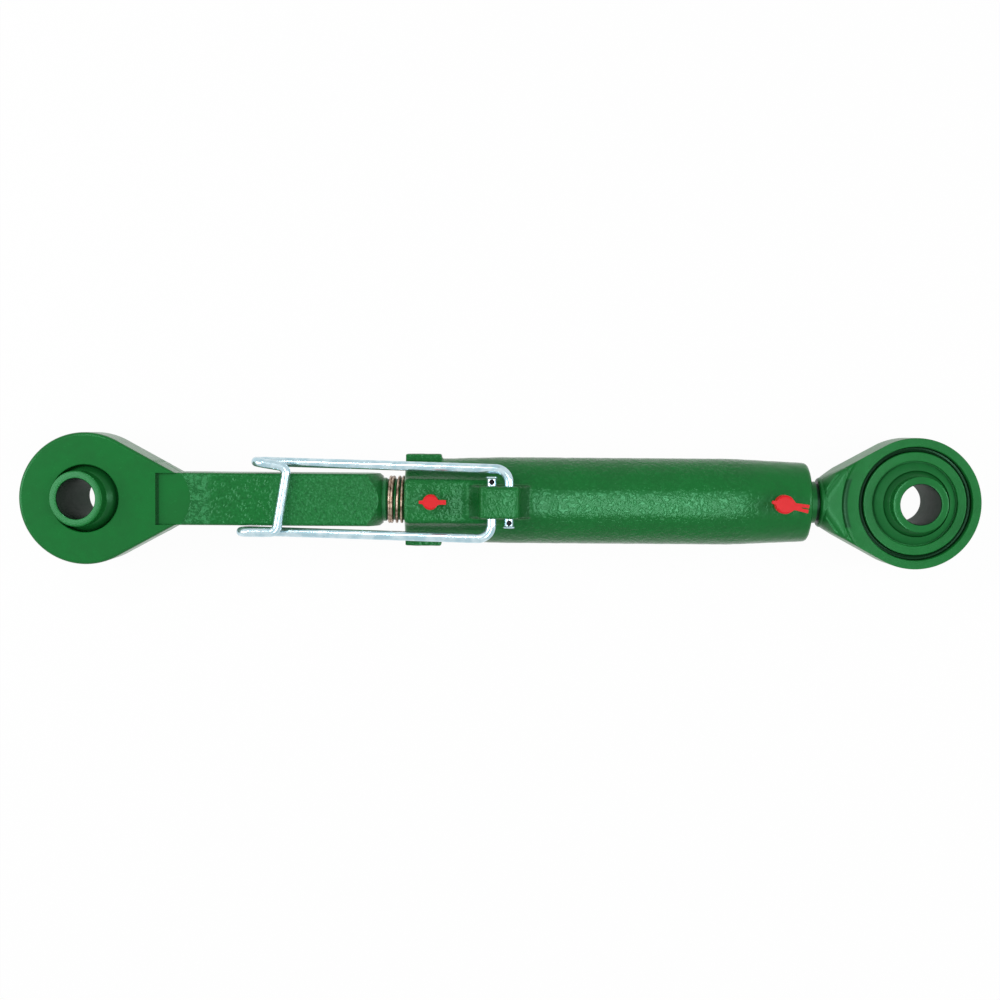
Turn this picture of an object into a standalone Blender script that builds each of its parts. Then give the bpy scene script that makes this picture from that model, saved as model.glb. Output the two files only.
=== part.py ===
"""Tractor top link: a cast barrel with a left-hand and a right-hand screw, a swivelling ball in each
eye, and a sprung lock wire that holds the square bar of the front screw against turning.

Metres. X runs along the link, from the front eye to the rear eye. Z points up, away from the floor that
the link lies on. Sizes named as heights are measured from the link's own axis, which lies AXIS_HEIGHT
above the floor."""

import math

import bmesh
import bpy
from mathutils import Vector

# Driving dimensions

CLEARANCE = 0.0003  # between pieces that touch or run in each other
SLIVER = 0.0002  # by which faces that would lie in one plane are kept apart
PAST = 0.0050  # by which a cutter stands out of what it cuts
OVERLAP = 0.0100  # by which joined solids run into each other
ROUND_STEPS = 44
FINE_STEPS = 20

EYE_RADIUS = 0.0420
EYE_PLAIN_FACE = 0.0190  # from the ball's centre to the closed side of the eye
EYE_FACED_SIDE = 0.0130  # to the side where the ball went in
EYE_TAPER = math.radians(28.6)  # slope of the flanks that run from eye to neck
EYE_EDGE = 0.0026
EYE_STEPS = 36
FACING_RADIUS = 0.0480  # reach of the facing cut round the ball
FACING_ALLOWANCE = 0.0003  # what the cut takes off the eye's face
RAW_FORGING = 0.0155  # height of the forging beyond the facing cut

MOUTH_RADIUS = 0.0215  # of the hole in the closed side, which stops the sleeve
LIP_FACE = 0.0110  # the ring between groove and lip
LIP_RADIUS = 0.0331
LIP_FOOT_RADIUS = 0.0272  # the cone that is pressed in over the ball, at its foot and its crest
LIP_FOOT = 0.0085
LIP_CREST_RADIUS = 0.0212
LIP_CREST = 0.0145
SWAGE_WIDTH = 0.0032
SWAGE_FLOOR = 0.0078

BALL_RADIUS = 0.0250
BALL_WIDTH = 0.0508
SLEEVE_RADIUS = 0.01775
SLEEVE_EDGE = 0.0008
PIN_BORE_RADIUS = 0.01285  # for a 25.4 mm pin
BALL_STEPS = 34

THREAD_RADIUS = 0.0134
THREAD_REACH = 0.1095  # of each screw inside the barrel, run in
THREAD_POINT = 0.0015

BAR_HALF = 0.01675
BAR_CHAMFER = 0.0025
BAR_LENGTH = 0.1450  # from the eye's wall to the end by the thread
BAR_WALL = 0.0430  # from the eye's centre to the wall where the bar starts
BAR_POINT_RADIUS = 0.0153
BAR_POINT_SLOPE = math.radians(37.8)
BAR_POCKET_RADIUS = 0.0230
BAR_POCKET_DEPTH = 0.0008
COLLAR_RADIUS = 0.0140
COLLAR_LENGTH = 0.0026

NECK_RADIUS = 0.0160
NECK_EDGE = 0.0020
NECK_GAP = 0.0085  # between barrel and rear shoulder
NECK_WALL = 0.0610  # from the rear shoulder to the centre of the rear eye

BARREL_LENGTH = 0.2560
BARREL_GAP = 0.0150  # between the bar's end and the barrel
BARREL_RADIUS = 0.0274
BARREL_FRONT_RADIUS = 0.0262
BARREL_REAR_RADIUS = 0.0252
BARREL_TAPER = 0.0480  # length of the taper at the rear
BARREL_EDGE = 0.0030
CAST_EDGE = 0.0012
TAPPED_LENGTH = 0.0550
CHAMBER_RADIUS = 0.0165

EAR_SPAN = 0.0586
EAR_LENGTH = 0.0225
EAR_THICKNESS = 0.0120

BOSS_RISE = 0.0013  # of the boss above the barrel's front
BOSS_HALF_WIDTH = 0.0146
BOSS_NARROWING = 0.86
BOSS_LENGTH = 0.0340
BOSS_SLOPE = 0.0050
BOSS_FOOT = 0.0080  # under the skin of the barrel

LUG_OFFSET = 0.0600  # from the barrel's front face to the middle of the lug
LUG_RISE = 0.0136  # of the lug above the barrel
LUG_TOP_HALF = 0.01275
LUG_FOOT_HALF = 0.0185
LUG_HALF_WIDTH = 0.0100
LUG_EDGE = 0.0012
LUG_FILLET = 0.0042

WIRE_RADIUS = 0.0030
WIRE_PIVOT_DEPTH = 0.0070  # of the pins under the top of the lug
WIRE_PIVOT_BEHIND = 0.0049  # of the lower leg's pin, from the lug's middle
WIRE_PIVOT_AHEAD = 0.0060  # of the upper leg's pin
WIRE_PIN_OUT = 0.0059  # how far each pin stands out of the lug
WIRE_HEAD_RADIUS = 0.0037
WIRE_HEAD_LENGTH = 0.0013
WIRE_HOLE_RADIUS = 0.0016  # of the cross hole through each pin
WIRE_HOLE_INSET = 0.0031  # from the pin's end
WIRE_BEND = 0.0090
WIRE_LOOP_BEND = 0.0065
WIRE_CROSS_BEND = 0.0050
WIRE_LOOP_HEIGHT = 0.0146
WIRE_UPPER_LEG = (0.0207, 0.0240)  # distance from the axis, at the pin and at the loop
WIRE_LOWER_LEG = (0.0228, 0.0206)
WIRE_UPPER_LOOP = 0.1582  # from the lug's middle to the loop's far end
WIRE_LOWER_LOOP = 0.1670
WIRE_UPPER_CROSS = 0.1344  # from the lug's middle to the ends of the cross piece
WIRE_LOWER_CROSS = 0.1413

SPRING_WIRE = 0.00085
SPRING_TURNS = 4

FITTING_FRONT = 0.0170  # from the barrel's front face
FITTING_REAR = 0.0180  # from its rear face
FITTING_STEM_RADIUS = 0.0027
FITTING_STEM_LENGTH = 0.0075
FITTING_HEX_HALF = 0.0035
FITTING_HEX_HEIGHT = 0.0036
FITTING_HEIGHT = 0.0100
FITTING_HEAD_RADIUS = 0.0032
FITTING_BORE_RADIUS = 0.00155
FITTING_EDGE = 0.0010
FITTING_FLOOR = 0.0006  # on which the check spring stands
CHECK_BALL_RADIUS = 0.00125
CHECK_SPRING_WIRE = 0.0002
CHECK_SPRING_TURNS = 5

FRONT_CAP_RADIUS = 0.0050
REAR_CAP_RADIUS = 0.0059
CAP_HEIGHT = 0.0082
CAP_ROOF = 0.0016
CAP_EDGE = 0.0015
TAB_THICKNESS = 0.0012
TAB_HALF = 0.0015
FRONT_TAB_NUB = 0.0071  # reach of the tab from the cap's middle, away from its tongue
FRONT_TAB_REACH = 0.0098
REAR_TAB_NUB = 0.0086
REAR_TAB_REACH = 0.0160
REAR_TAB_TIP = 0.0027
REAR_TAB_NOTCH = 0.0045
REAR_TAB_TURN = math.radians(-8)

# Places that follow from them. SWIVEL is the lean at which a sleeve meets the mouth of its eye, and the
# front ball rests at it.

SOCKET_RADIUS = BALL_RADIUS + CLEARANCE
MOUTH_REACH = math.hypot(MOUTH_RADIUS, EYE_PLAIN_FACE)
SWIVEL = math.acos((SLEEVE_RADIUS + CLEARANCE) / MOUTH_REACH) - math.asin(EYE_PLAIN_FACE / MOUTH_REACH)
PIN_SPACING = BAR_WALL + BAR_LENGTH + BARREL_GAP + BARREL_LENGTH + NECK_GAP + NECK_WALL
FRONT_EYE = -PIN_SPACING / 2
REAR_EYE = PIN_SPACING / 2
BAR_START = FRONT_EYE + BAR_WALL
BAR_END = BAR_START + BAR_LENGTH
BARREL_FRONT = BAR_END + BARREL_GAP
BARREL_REAR = BARREL_FRONT + BARREL_LENGTH
SHOULDER = BARREL_REAR + NECK_GAP
LUG_X = BARREL_FRONT + LUG_OFFSET
BOSS_TOP = BARREL_FRONT_RADIUS + BOSS_RISE
BOSS_STEP = BARREL_FRONT_RADIUS
LUG_TOP = BARREL_RADIUS + LUG_RISE
WIRE_PIVOT_HEIGHT = LUG_TOP - WIRE_PIVOT_DEPTH
FITTING_SPOT_FACE = BARREL_REAR_RADIUS
FRONT_FITTING_X = BARREL_FRONT + FITTING_FRONT
REAR_FITTING_X = BARREL_REAR - FITTING_REAR
BALL_DROP = BALL_WIDTH / 2 * math.cos(SWIVEL) + (SLEEVE_RADIUS - SLEEVE_EDGE) * math.sin(SWIVEL)
AXIS_HEIGHT = max(BALL_DROP, BARREL_RADIUS)

ALONG = {"X": (0, math.pi / 2, 0), "Y": (-math.pi / 2, 0, 0), "Z": (0, 0, 0)}
PLANE = {"XY": (0, 0, 0), "XZ": (math.pi / 2, 0, 0), "YZ": (math.pi / 2, 0, math.pi / 2)}


for old in list(bpy.data.objects):
    bpy.data.objects.remove(old, do_unlink=True)

PARTS = bpy.data.collections.new("tractor_top_link")
TOOLS = bpy.data.collections.new("cutters")
bpy.context.scene.collection.children.link(PARTS)
bpy.context.scene.collection.children.link(TOOLS)
TOOLS.hide_render = True


def at(x, y=0.0, height=0.0):
    """A point given along, across and above the link's axis."""
    return Vector((x, y, AXIS_HEIGHT + height))


def paint(name, colour, roughness, metallic=0.0):
    material = bpy.data.materials.new(name)
    material.use_nodes = True
    shader = material.node_tree.nodes["Principled BSDF"]
    shader.inputs["Base Color"].default_value = (*colour, 1.0)
    shader.inputs["Roughness"].default_value = roughness
    shader.inputs["Metallic"].default_value = metallic
    material.diffuse_color = (*colour, 1.0)
    return material


GREEN = paint("green_paint", (0.015, 0.162, 0.037), 0.42)
ZINC = paint("zinc_plate", (0.62, 0.68, 0.74), 0.28, 1.0)
SPRING_STEEL = paint("spring_steel", (0.22, 0.15, 0.11), 0.35, 1.0)
BRIGHT_STEEL = paint("bright_steel", (0.55, 0.56, 0.57), 0.25, 1.0)
RED_PLASTIC = paint("red_plastic", (0.82, 0.03, 0.04), 0.38)


# Making and joining shapes


def link_tool(shape):
    TOOLS.objects.link(shape)
    shape.hide_render = True
    shape.display_type = "WIRE"
    return shape


def finish(piece, material, sharp=math.radians(35)):
    """Puts a piece in the part's collection, with its material and smooth round faces."""
    for collection in list(piece.users_collection):
        collection.objects.unlink(piece)
    PARTS.objects.link(piece)
    piece.hide_render = False
    piece.display_type = "TEXTURED"
    piece.data.materials.clear()
    piece.data.materials.append(material)
    if piece.data.polygons:
        piece.data.shade_smooth()
        piece.data.set_sharp_from_angle(angle=sharp)
    return piece


def turned(name, profile, location, axis="Z", steps=ROUND_STEPS, closed=False):
    """A profile of (radius, height) pairs, turned about the axis. It runs down its outer side."""
    mesh = bpy.data.meshes.new(name)
    edges = [(i, i + 1) for i in range(len(profile) - 1)]
    if closed:
        edges.append((len(profile) - 1, 0))
    mesh.from_pydata([(radius, 0.0, height) for radius, height in profile], edges, [])
    shape = bpy.data.objects.new(name, mesh)
    shape.location = location
    shape.rotation_euler = ALONG[axis]
    screw = shape.modifiers.new("Turn", "SCREW")
    screw.steps = steps
    screw.render_steps = steps
    screw.use_merge_vertices = True
    screw.merge_threshold = 0.00001
    return link_tool(shape)


def rod(name, radius, length, location, axis, steps=FINE_STEPS):
    profile = [(0.0, length), (radius, length), (radius, 0.0), (0.0, 0.0)]
    return turned(name, profile, location, axis, steps)


def arc(centre, radius, start, end, count):
    """Points on an arc, with both ends. Angles are in degrees."""
    angles = [math.radians(start + (end - start) * i / count) for i in range(count + 1)]
    return [(centre[0] + radius * math.cos(a), centre[1] + radius * math.sin(a)) for a in angles]


def solid_from_curve(drawn):
    """A mesh object in place of a curve object, with its caps welded to its sides."""
    TOOLS.objects.link(drawn)
    bpy.context.view_layer.update()
    graph = bpy.context.evaluated_depsgraph_get()
    mesh = bpy.data.meshes.new_from_object(drawn.evaluated_get(graph))
    filled = bmesh.new()
    filled.from_mesh(mesh)
    bmesh.ops.remove_doubles(filled, verts=filled.verts, dist=0.000001)
    bmesh.ops.recalc_face_normals(filled, faces=filled.faces)
    filled.to_mesh(mesh)
    filled.free()
    name, place = drawn.name, drawn.matrix_world.copy()
    bpy.data.objects.remove(drawn, do_unlink=True)
    shape = bpy.data.objects.new(name, mesh)
    shape.matrix_world = place
    return link_tool(shape)


def prism(name, outline, low, high, plane="XY", middle=(0.0, 0.0, 0.0)):
    """A flat outline raised from low to high, square to its plane."""
    curve = bpy.data.curves.new(name, "CURVE")
    curve.dimensions = "2D"
    curve.fill_mode = "BOTH"
    curve.extrude = (high - low) / 2
    spline = curve.splines.new("POLY")
    spline.points.add(len(outline) - 1)
    for point, (across, up) in zip(spline.points, outline):
        point.co = (across, up, 0.0, 1.0)
    spline.use_cyclic_u = True
    drawn = bpy.data.objects.new(name, curve)
    step = {"XY": Vector((0, 0, 1)), "XZ": Vector((0, -1, 0)), "YZ": Vector((1, 0, 0))}[plane]
    drawn.location = at(*middle) + step * (low + high) / 2
    drawn.rotation_euler = PLANE[plane]
    return solid_from_curve(drawn)


def tube(name, route, radius, sides, location):
    """A round wire along a list of points, which are given from the location."""
    curve = bpy.data.curves.new(name, "CURVE")
    curve.dimensions = "3D"
    curve.bevel_depth = radius
    curve.bevel_resolution = sides // 2 - 2
    curve.use_fill_caps = True
    spline = curve.splines.new("POLY")
    spline.points.add(len(route) - 1)
    for point, place in zip(spline.points, route):
        point.co = (*place, 1.0)
    drawn = bpy.data.objects.new(name, curve)
    drawn.location = location
    return solid_from_curve(drawn)


def sphere(name, radius, location, segments):
    ball = bmesh.new()
    bmesh.ops.create_uvsphere(ball, u_segments=segments, v_segments=segments // 2, radius=radius)
    mesh = bpy.data.meshes.new(name)
    ball.to_mesh(mesh)
    ball.free()
    shape = bpy.data.objects.new(name, mesh)
    shape.location = location
    return link_tool(shape)


def bevel(shape, width, segments=2, angle=math.radians(40)):
    modifier = shape.modifiers.new("Round edges", "BEVEL")
    modifier.width = width
    modifier.segments = segments
    modifier.limit_method = "ANGLE"
    modifier.angle_limit = angle


def boolean(shape, operation, *others):
    for other in others:
        modifier = shape.modifiers.new(f"{operation.title()} {other.name}", "BOOLEAN")
        modifier.operation = operation
        modifier.solver = "EXACT"
        modifier.object = other
    return shape


def rounded_route(corners, step):
    """Points along straight runs, whose corners are rounded to the radius given beside each."""
    route = [Vector(corners[0][0])]
    for (before, _), (corner, radius), (after, _) in zip(corners, corners[1:], corners[2:]):
        corner = Vector(corner)
        back = (Vector(before) - corner).normalized()
        onward = (Vector(after) - corner).normalized()
        half = back.angle(onward) / 2
        centre = corner + (back + onward).normalized() * radius / math.sin(half)
        first = corner + back * radius / math.tan(half) - centre
        last = corner + onward * radius / math.tan(half) - centre
        sweep = math.pi - 2 * half
        count = max(3, round(radius * sweep / step))
        for i in range(count + 1):
            turn = sweep * i / count
            spoke = first * math.sin(sweep - turn) + last * math.sin(turn)
            route.append(centre + spoke / math.sin(sweep))
    route.append(Vector(corners[-1][0]))
    return route


def helix(length, radius, turns, axis, steps):
    """Points of a coil that starts at zero and climbs along X or Z."""
    points = []
    for i in range(turns * steps + 1):
        turn = 2 * math.pi * i / steps
        climb = length * i / (turns * steps)
        first, second = radius * math.cos(turn), radius * math.sin(turn)
        points.append((climb, first, second) if axis == "X" else (first, second, climb))
    return points


# Eyes


def flank(distance):
    """Half the width between the eye's flanks, at a distance from its centre towards the barrel."""
    return (EYE_RADIUS - distance * math.sin(EYE_TAPER)) / math.cos(EYE_TAPER)


def flank_end(half_width):
    """The distance at which the flanks have come in to a half width."""
    return (EYE_RADIUS - half_width * math.cos(EYE_TAPER)) / math.sin(EYE_TAPER)


def eye_blank(name, centre, inward, faced, neck_half):
    """The forged eye and its flanks. inward points to the barrel, and faced to the side that the ball
    went in from, as +1 or -1."""
    touch = 90 - math.degrees(EYE_TAPER)
    end = flank_end(neck_half)
    outline = arc((0.0, 0.0), EYE_RADIUS, touch, 360 - touch, EYE_STEPS)
    outline += [(end, -neck_half), (end, neck_half)]
    outline = [(centre + inward * along, across) for along, across in outline]
    low, high = sorted((faced * (LIP_CREST + FACING_ALLOWANCE), -faced * EYE_PLAIN_FACE))
    blank = prism(name + "_blank", outline, low, high)
    bevel(blank, EYE_EDGE, 2, math.radians(50))
    pad_start = FACING_RADIUS * 0.9
    pad = [(pad_start, flank(pad_start)), (end, neck_half), (end, -neck_half), (pad_start, -flank(pad_start))]
    pad = [(centre + inward * along, across - math.copysign(EYE_EDGE / 2, across)) for along, across in pad]
    low, high = sorted((0.0, faced * RAW_FORGING))
    raised = prism(name + "_forging", pad, low, high)
    return boolean(blank, "UNION", raised)


def facing_tool(name, centre, faced):
    """Takes the eye's face down, and leaves the lip that is pressed in over the ball, and its groove."""
    above = EYE_PLAIN_FACE + 0.010
    slope = SWAGE_WIDTH / 6
    profile = [
        (0.0, above),
        (FACING_RADIUS, above),
        (FACING_RADIUS, EYE_FACED_SIDE),
        (LIP_RADIUS + SWAGE_WIDTH, EYE_FACED_SIDE),
        (LIP_RADIUS + SWAGE_WIDTH - slope, SWAGE_FLOOR + slope),
        (LIP_RADIUS + SWAGE_WIDTH / 2, SWAGE_FLOOR),
        (LIP_RADIUS + slope, SWAGE_FLOOR + slope),
        (LIP_RADIUS, LIP_FACE),
        (LIP_FOOT_RADIUS, LIP_FACE),
        (LIP_FOOT_RADIUS, LIP_FOOT),
        (LIP_CREST_RADIUS, LIP_CREST),
        (0.0, LIP_CREST),
    ]
    tool = turned(name + "_facing", profile, at(centre))
    if faced < 0:
        tool.rotation_euler = (math.pi, 0, 0)
    return tool


def seat_tools(name, centre, faced):
    """The ball's seat, and the mouth that its sleeve stands out of on the closed side."""
    start = 0.0 if faced < 0 else -EYE_PLAIN_FACE - PAST
    mouth = rod(name + "_mouth", MOUTH_RADIUS, EYE_PLAIN_FACE + PAST, at(centre, 0.0, start), "Z", ROUND_STEPS)
    return [mouth, sphere(name + "_socket", SOCKET_RADIUS, at(centre), BALL_STEPS)]


def swivel_ball(name, centre, tilt):
    """The ball, with a sleeve out of each side and the pin bore through them."""
    half = BALL_WIDTH / 2
    foot = math.degrees(math.acos(SLEEVE_RADIUS / BALL_RADIUS))
    sleeve = [
        (PIN_BORE_RADIUS, half - SLEEVE_EDGE),
        (PIN_BORE_RADIUS + SLEEVE_EDGE, half),
        (SLEEVE_RADIUS - SLEEVE_EDGE, half),
        (SLEEVE_RADIUS, half - SLEEVE_EDGE),
    ]
    profile = sleeve + arc((0.0, 0.0), BALL_RADIUS, foot, -foot, 12)
    profile += [(radius, -height) for radius, height in reversed(sleeve)]
    ball = turned(name, profile, at(centre), closed=True, steps=BALL_STEPS)
    ball.rotation_euler = (0, -tilt, 0)
    return finish(ball, GREEN)


# Screws


def front_screw():
    """The eye with the square bar, and the left-hand thread that runs into the barrel."""
    name = "front_screw"
    tip = BARREL_FRONT + THREAD_REACH
    profile = [
        (0.0, tip),
        (THREAD_RADIUS - THREAD_POINT, tip),
        (THREAD_RADIUS, tip - THREAD_POINT),
        (THREAD_RADIUS, BAR_END + COLLAR_LENGTH + 2 * SLIVER),
        (COLLAR_RADIUS, BAR_END + COLLAR_LENGTH),
        (COLLAR_RADIUS, BAR_END - OVERLAP),
        (0.0, BAR_END - OVERLAP),
    ]
    screw = turned(name, [(radius, x - FRONT_EYE) for radius, x in profile], at(FRONT_EYE), "X")

    blank = eye_blank(name, FRONT_EYE, 1, -1, BAR_HALF - EYE_EDGE)
    slot = BAR_HALF - SLIVER
    floor = BAR_HALF - BAR_POCKET_DEPTH
    above = EYE_PLAIN_FACE + PAST
    run = BAR_START + 4 * OVERLAP
    outline = [(BAR_START, -slot), (run, -slot), (run, slot), (BAR_START, slot)]
    boolean(blank, "DIFFERENCE", prism(name + "_bar_slot", outline, floor - SLIVER, above))

    flat = BAR_HALF - BAR_CHAMFER
    square = [(BAR_HALF, flat), (flat, BAR_HALF), (-flat, BAR_HALF), (-BAR_HALF, flat)]
    square += [(-across, -up) for across, up in square]
    bar = prism(name + "_bar", square, BAR_START - OVERLAP, BAR_END + 5 * SLIVER, "YZ")
    wide = 2 * BAR_HALF
    point = [
        (0.0, BAR_END),
        (BAR_POINT_RADIUS, BAR_END),
        (wide, BAR_END - (wide - BAR_POINT_RADIUS) / math.tan(BAR_POINT_SLOPE)),
        (wide, FRONT_EYE),
        (0.0, FRONT_EYE),
    ]
    boolean(bar, "INTERSECT", turned(name + "_bar_point", point, at(0.0), "X"))
    inside = BAR_START - 2 * SLIVER
    pocket = arc((BAR_START + BAR_POCKET_DEPTH, 0.0), BAR_POCKET_RADIUS, -90, 90, FINE_STEPS)
    pocket = [(inside, -BAR_POCKET_RADIUS), *pocket, (inside, BAR_POCKET_RADIUS)]
    boolean(bar, "DIFFERENCE", prism(name + "_pocket", pocket, floor, above))

    boolean(screw, "UNION", bar, blank)
    boolean(screw, "DIFFERENCE", facing_tool(name, FRONT_EYE, -1), *seat_tools(name, FRONT_EYE, -1))
    return finish(screw, GREEN)


def rear_screw():
    """The eye with the round neck, and the right-hand thread that runs into the barrel."""
    name = "rear_screw"
    tip = BARREL_REAR - THREAD_REACH
    neck_end = REAR_EYE - FACING_RADIUS * 0.7
    profile = [
        (0.0, neck_end),
        (NECK_RADIUS, neck_end),
        *[(radius, x) for x, radius in arc((SHOULDER + NECK_EDGE, NECK_RADIUS - NECK_EDGE), NECK_EDGE, 90, 180, 4)],
        (THREAD_RADIUS, SHOULDER),
        (THREAD_RADIUS, tip + THREAD_POINT),
        (THREAD_RADIUS - THREAD_POINT, tip),
        (0.0, tip),
    ]
    screw = turned(name, [(radius, x - REAR_EYE) for radius, x in profile], at(REAR_EYE), "X")

    neck_half = NECK_RADIUS - 2 * SLIVER
    blank = eye_blank(name, REAR_EYE, -1, 1, neck_half)
    waist = REAR_EYE - flank_end(neck_half)
    wide = EYE_RADIUS + 2 * OVERLAP
    blend = [
        (0.0, REAR_EYE + wide),
        (wide, REAR_EYE + wide),
        (wide, waist + (wide - NECK_RADIUS)),
        (NECK_RADIUS, waist),
        (0.0, waist),
    ]
    boolean(blank, "INTERSECT", turned(name + "_neck_blend", blend, at(0.0), "X"))
    boolean(screw, "UNION", blank)
    boolean(screw, "DIFFERENCE", facing_tool(name, REAR_EYE, 1), *seat_tools(name, REAR_EYE, 1))
    return finish(screw, GREEN)


# Barrel


def barrel():
    """The cast barrel: ears and boss at its front, the lug for the lock wire, and the stepped bore."""
    rear_arc = arc((BARREL_REAR - BARREL_EDGE, BARREL_REAR_RADIUS - BARREL_EDGE), BARREL_EDGE, 0, 90, 4)
    profile = [(0.0, BARREL_REAR)]
    profile += [(radius, x) for x, radius in rear_arc]
    profile += [
        (BARREL_RADIUS, BARREL_REAR - BARREL_TAPER),
        (BARREL_RADIUS, LUG_X),
        (BARREL_FRONT_RADIUS, BARREL_FRONT + EAR_LENGTH),
        (BARREL_FRONT_RADIUS, BARREL_FRONT + CAST_EDGE),
        (BARREL_FRONT_RADIUS - CAST_EDGE, BARREL_FRONT),
        (0.0, BARREL_FRONT),
    ]
    casting = turned("barrel", profile, at(0.0), "X")

    ear_front = BARREL_FRONT + 2 * SLIVER
    ear_rear = BARREL_FRONT + EAR_LENGTH
    half_span, half_ear = EAR_SPAN / 2, EAR_THICKNESS / 2
    plan = [(ear_front, -half_span), (ear_rear, -half_span), (ear_rear, half_span), (ear_front, half_span)]
    ears = prism("barrel_ears", plan, -half_ear, half_ear)
    bevel(ears, CAST_EDGE)

    boss_end = BARREL_FRONT + BOSS_LENGTH
    side = [
        (ear_front, BOSS_FOOT),
        (LUG_X - LUG_TOP_HALF, BOSS_FOOT),
        (LUG_X - LUG_TOP_HALF, BOSS_STEP),
        (boss_end + BOSS_SLOPE, BOSS_STEP),
        (boss_end, BOSS_TOP),
        (ear_front, BOSS_TOP),
    ]
    boss = prism("barrel_boss", side, -BOSS_HALF_WIDTH, BOSS_HALF_WIDTH, "XZ")
    for vertex in boss.data.vertices:
        if vertex.co.x > boss_end:
            vertex.co.z *= BOSS_NARROWING
    bevel(boss, CAST_EDGE)

    foot = BARREL_RADIUS + 3 * SLIVER
    slope = (LUG_FOOT_HALF - LUG_TOP_HALF) / (LUG_TOP - foot)
    half_side = [
        (LUG_FOOT_HALF + LUG_FILLET, BARREL_RADIUS - OVERLAP / 2),
        (LUG_FOOT_HALF + LUG_FILLET * 0.8, BARREL_RADIUS - SLIVER),
        (LUG_FOOT_HALF + LUG_FILLET * 0.3, foot),
        (LUG_FOOT_HALF - LUG_FILLET * 0.6 * slope, foot + LUG_FILLET * 0.6),
        (LUG_TOP_HALF, LUG_TOP),
    ]
    side = [(LUG_X + along, up) for along, up in half_side]
    side += [(LUG_X - along, up) for along, up in reversed(half_side)]
    lug = prism("barrel_lug", side, -LUG_HALF_WIDTH, LUG_HALF_WIDTH, "XZ")
    bevel(lug, LUG_EDGE, 3, math.radians(30))

    bore = THREAD_RADIUS + CLEARANCE
    ramp = CHAMBER_RADIUS - bore
    hollow = [
        (0.0, BARREL_REAR + PAST),
        (bore, BARREL_REAR + PAST),
        (bore, BARREL_REAR - TAPPED_LENGTH),
        (CHAMBER_RADIUS, BARREL_REAR - TAPPED_LENGTH - ramp),
        (CHAMBER_RADIUS, BARREL_FRONT + TAPPED_LENGTH + ramp),
        (bore, BARREL_FRONT + TAPPED_LENGTH),
        (bore, BARREL_FRONT - PAST),
        (0.0, BARREL_FRONT - PAST),
    ]
    cutters = [turned("barrel_bore", hollow, at(0.0), "X")]
    for name, x in (("behind", LUG_X - WIRE_PIVOT_BEHIND), ("ahead", LUG_X + WIRE_PIVOT_AHEAD)):
        start = at(x, -LUG_HALF_WIDTH - PAST, WIRE_PIVOT_HEIGHT)
        length = 2 * (LUG_HALF_WIDTH + PAST)
        cutters.append(rod("barrel_pin_hole_" + name, WIRE_RADIUS + CLEARANCE, length, start, "Y"))
    seats = (("front", FRONT_FITTING_X, BOSS_TOP), ("rear", REAR_FITTING_X, FITTING_SPOT_FACE))
    for name, x, seat in seats:
        inside = bore / 2
        hole = FITTING_STEM_RADIUS + CLEARANCE
        cutters.append(rod(f"barrel_{name}_grease_hole", hole, seat - inside + PAST, at(x, 0.0, inside), "Z"))
    flat = FITTING_STEM_RADIUS * 2
    cutters.append(rod("barrel_spot_face", flat, PAST, at(REAR_FITTING_X, 0.0, FITTING_SPOT_FACE), "Z"))

    boolean(casting, "UNION", ears, boss, lug)
    boolean(casting, "DIFFERENCE", *cutters)
    return finish(casting, GREEN)


# Lock wire and spring


def lock_wire():
    """One bent wire: two offset pins in the lug, two legs, a loop at the end of each leg, and the cross
    piece that lies over the bar."""
    rest = BAR_HALF + WIRE_RADIUS + CLEARANCE
    dip = rest - WIRE_LOOP_HEIGHT
    pin_end = LUG_HALF_WIDTH + WIRE_PIN_OUT
    ahead = LUG_X + WIRE_PIVOT_AHEAD
    behind = LUG_X - WIRE_PIVOT_BEHIND
    upper_loop, lower_loop = LUG_X - WIRE_UPPER_LOOP, LUG_X - WIRE_LOWER_LOOP
    upper, lower = WIRE_UPPER_LEG, WIRE_LOWER_LEG
    corners = [
        (at(ahead, -pin_end, WIRE_PIVOT_HEIGHT), 0.0),
        (at(ahead, upper[0], WIRE_PIVOT_HEIGHT), WIRE_BEND),
        (at(upper_loop, upper[1], dip), WIRE_LOOP_BEND),
        (at(upper_loop, upper[1], rest), WIRE_LOOP_BEND),
        (at(LUG_X - WIRE_UPPER_CROSS, upper[0], rest), WIRE_CROSS_BEND),
        (at(LUG_X - WIRE_LOWER_CROSS, -lower[1], rest), WIRE_CROSS_BEND),
        (at(lower_loop, -lower[1], rest), WIRE_LOOP_BEND),
        (at(lower_loop, -lower[1], dip), WIRE_LOOP_BEND),
        (at(behind, -lower[0], WIRE_PIVOT_HEIGHT), WIRE_BEND),
        (at(behind, pin_end, WIRE_PIVOT_HEIGHT), 0.0),
    ]
    pivot = at((ahead + behind) / 2, 0.0, WIRE_PIVOT_HEIGHT)
    route = [point - pivot for point in rounded_route(corners, WIRE_RADIUS * 1.2)]
    wire = tube("lock_wire", route, WIRE_RADIUS, 10, pivot)
    heads, holes = [], []
    for side, x in ((-1, ahead), (1, behind)):
        inner = pin_end - WIRE_HEAD_LENGTH
        start = min(side * inner, side * (pin_end + SLIVER))
        place = at(x, start, WIRE_PIVOT_HEIGHT)
        heads.append(rod(f"lock_wire_head_{side}", WIRE_HEAD_RADIUS, WIRE_HEAD_LENGTH + SLIVER, place, "Y", 20))
        place = at(x, side * (pin_end - WIRE_HOLE_INSET), WIRE_PIVOT_HEIGHT - PAST)
        holes.append(rod(f"lock_wire_hole_{side}", WIRE_HOLE_RADIUS, 2 * PAST, place, "Z", 12))
    boolean(wire, "UNION", *heads)
    boolean(wire, "DIFFERENCE", *holes)
    return finish(wire, ZINC)


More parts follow.
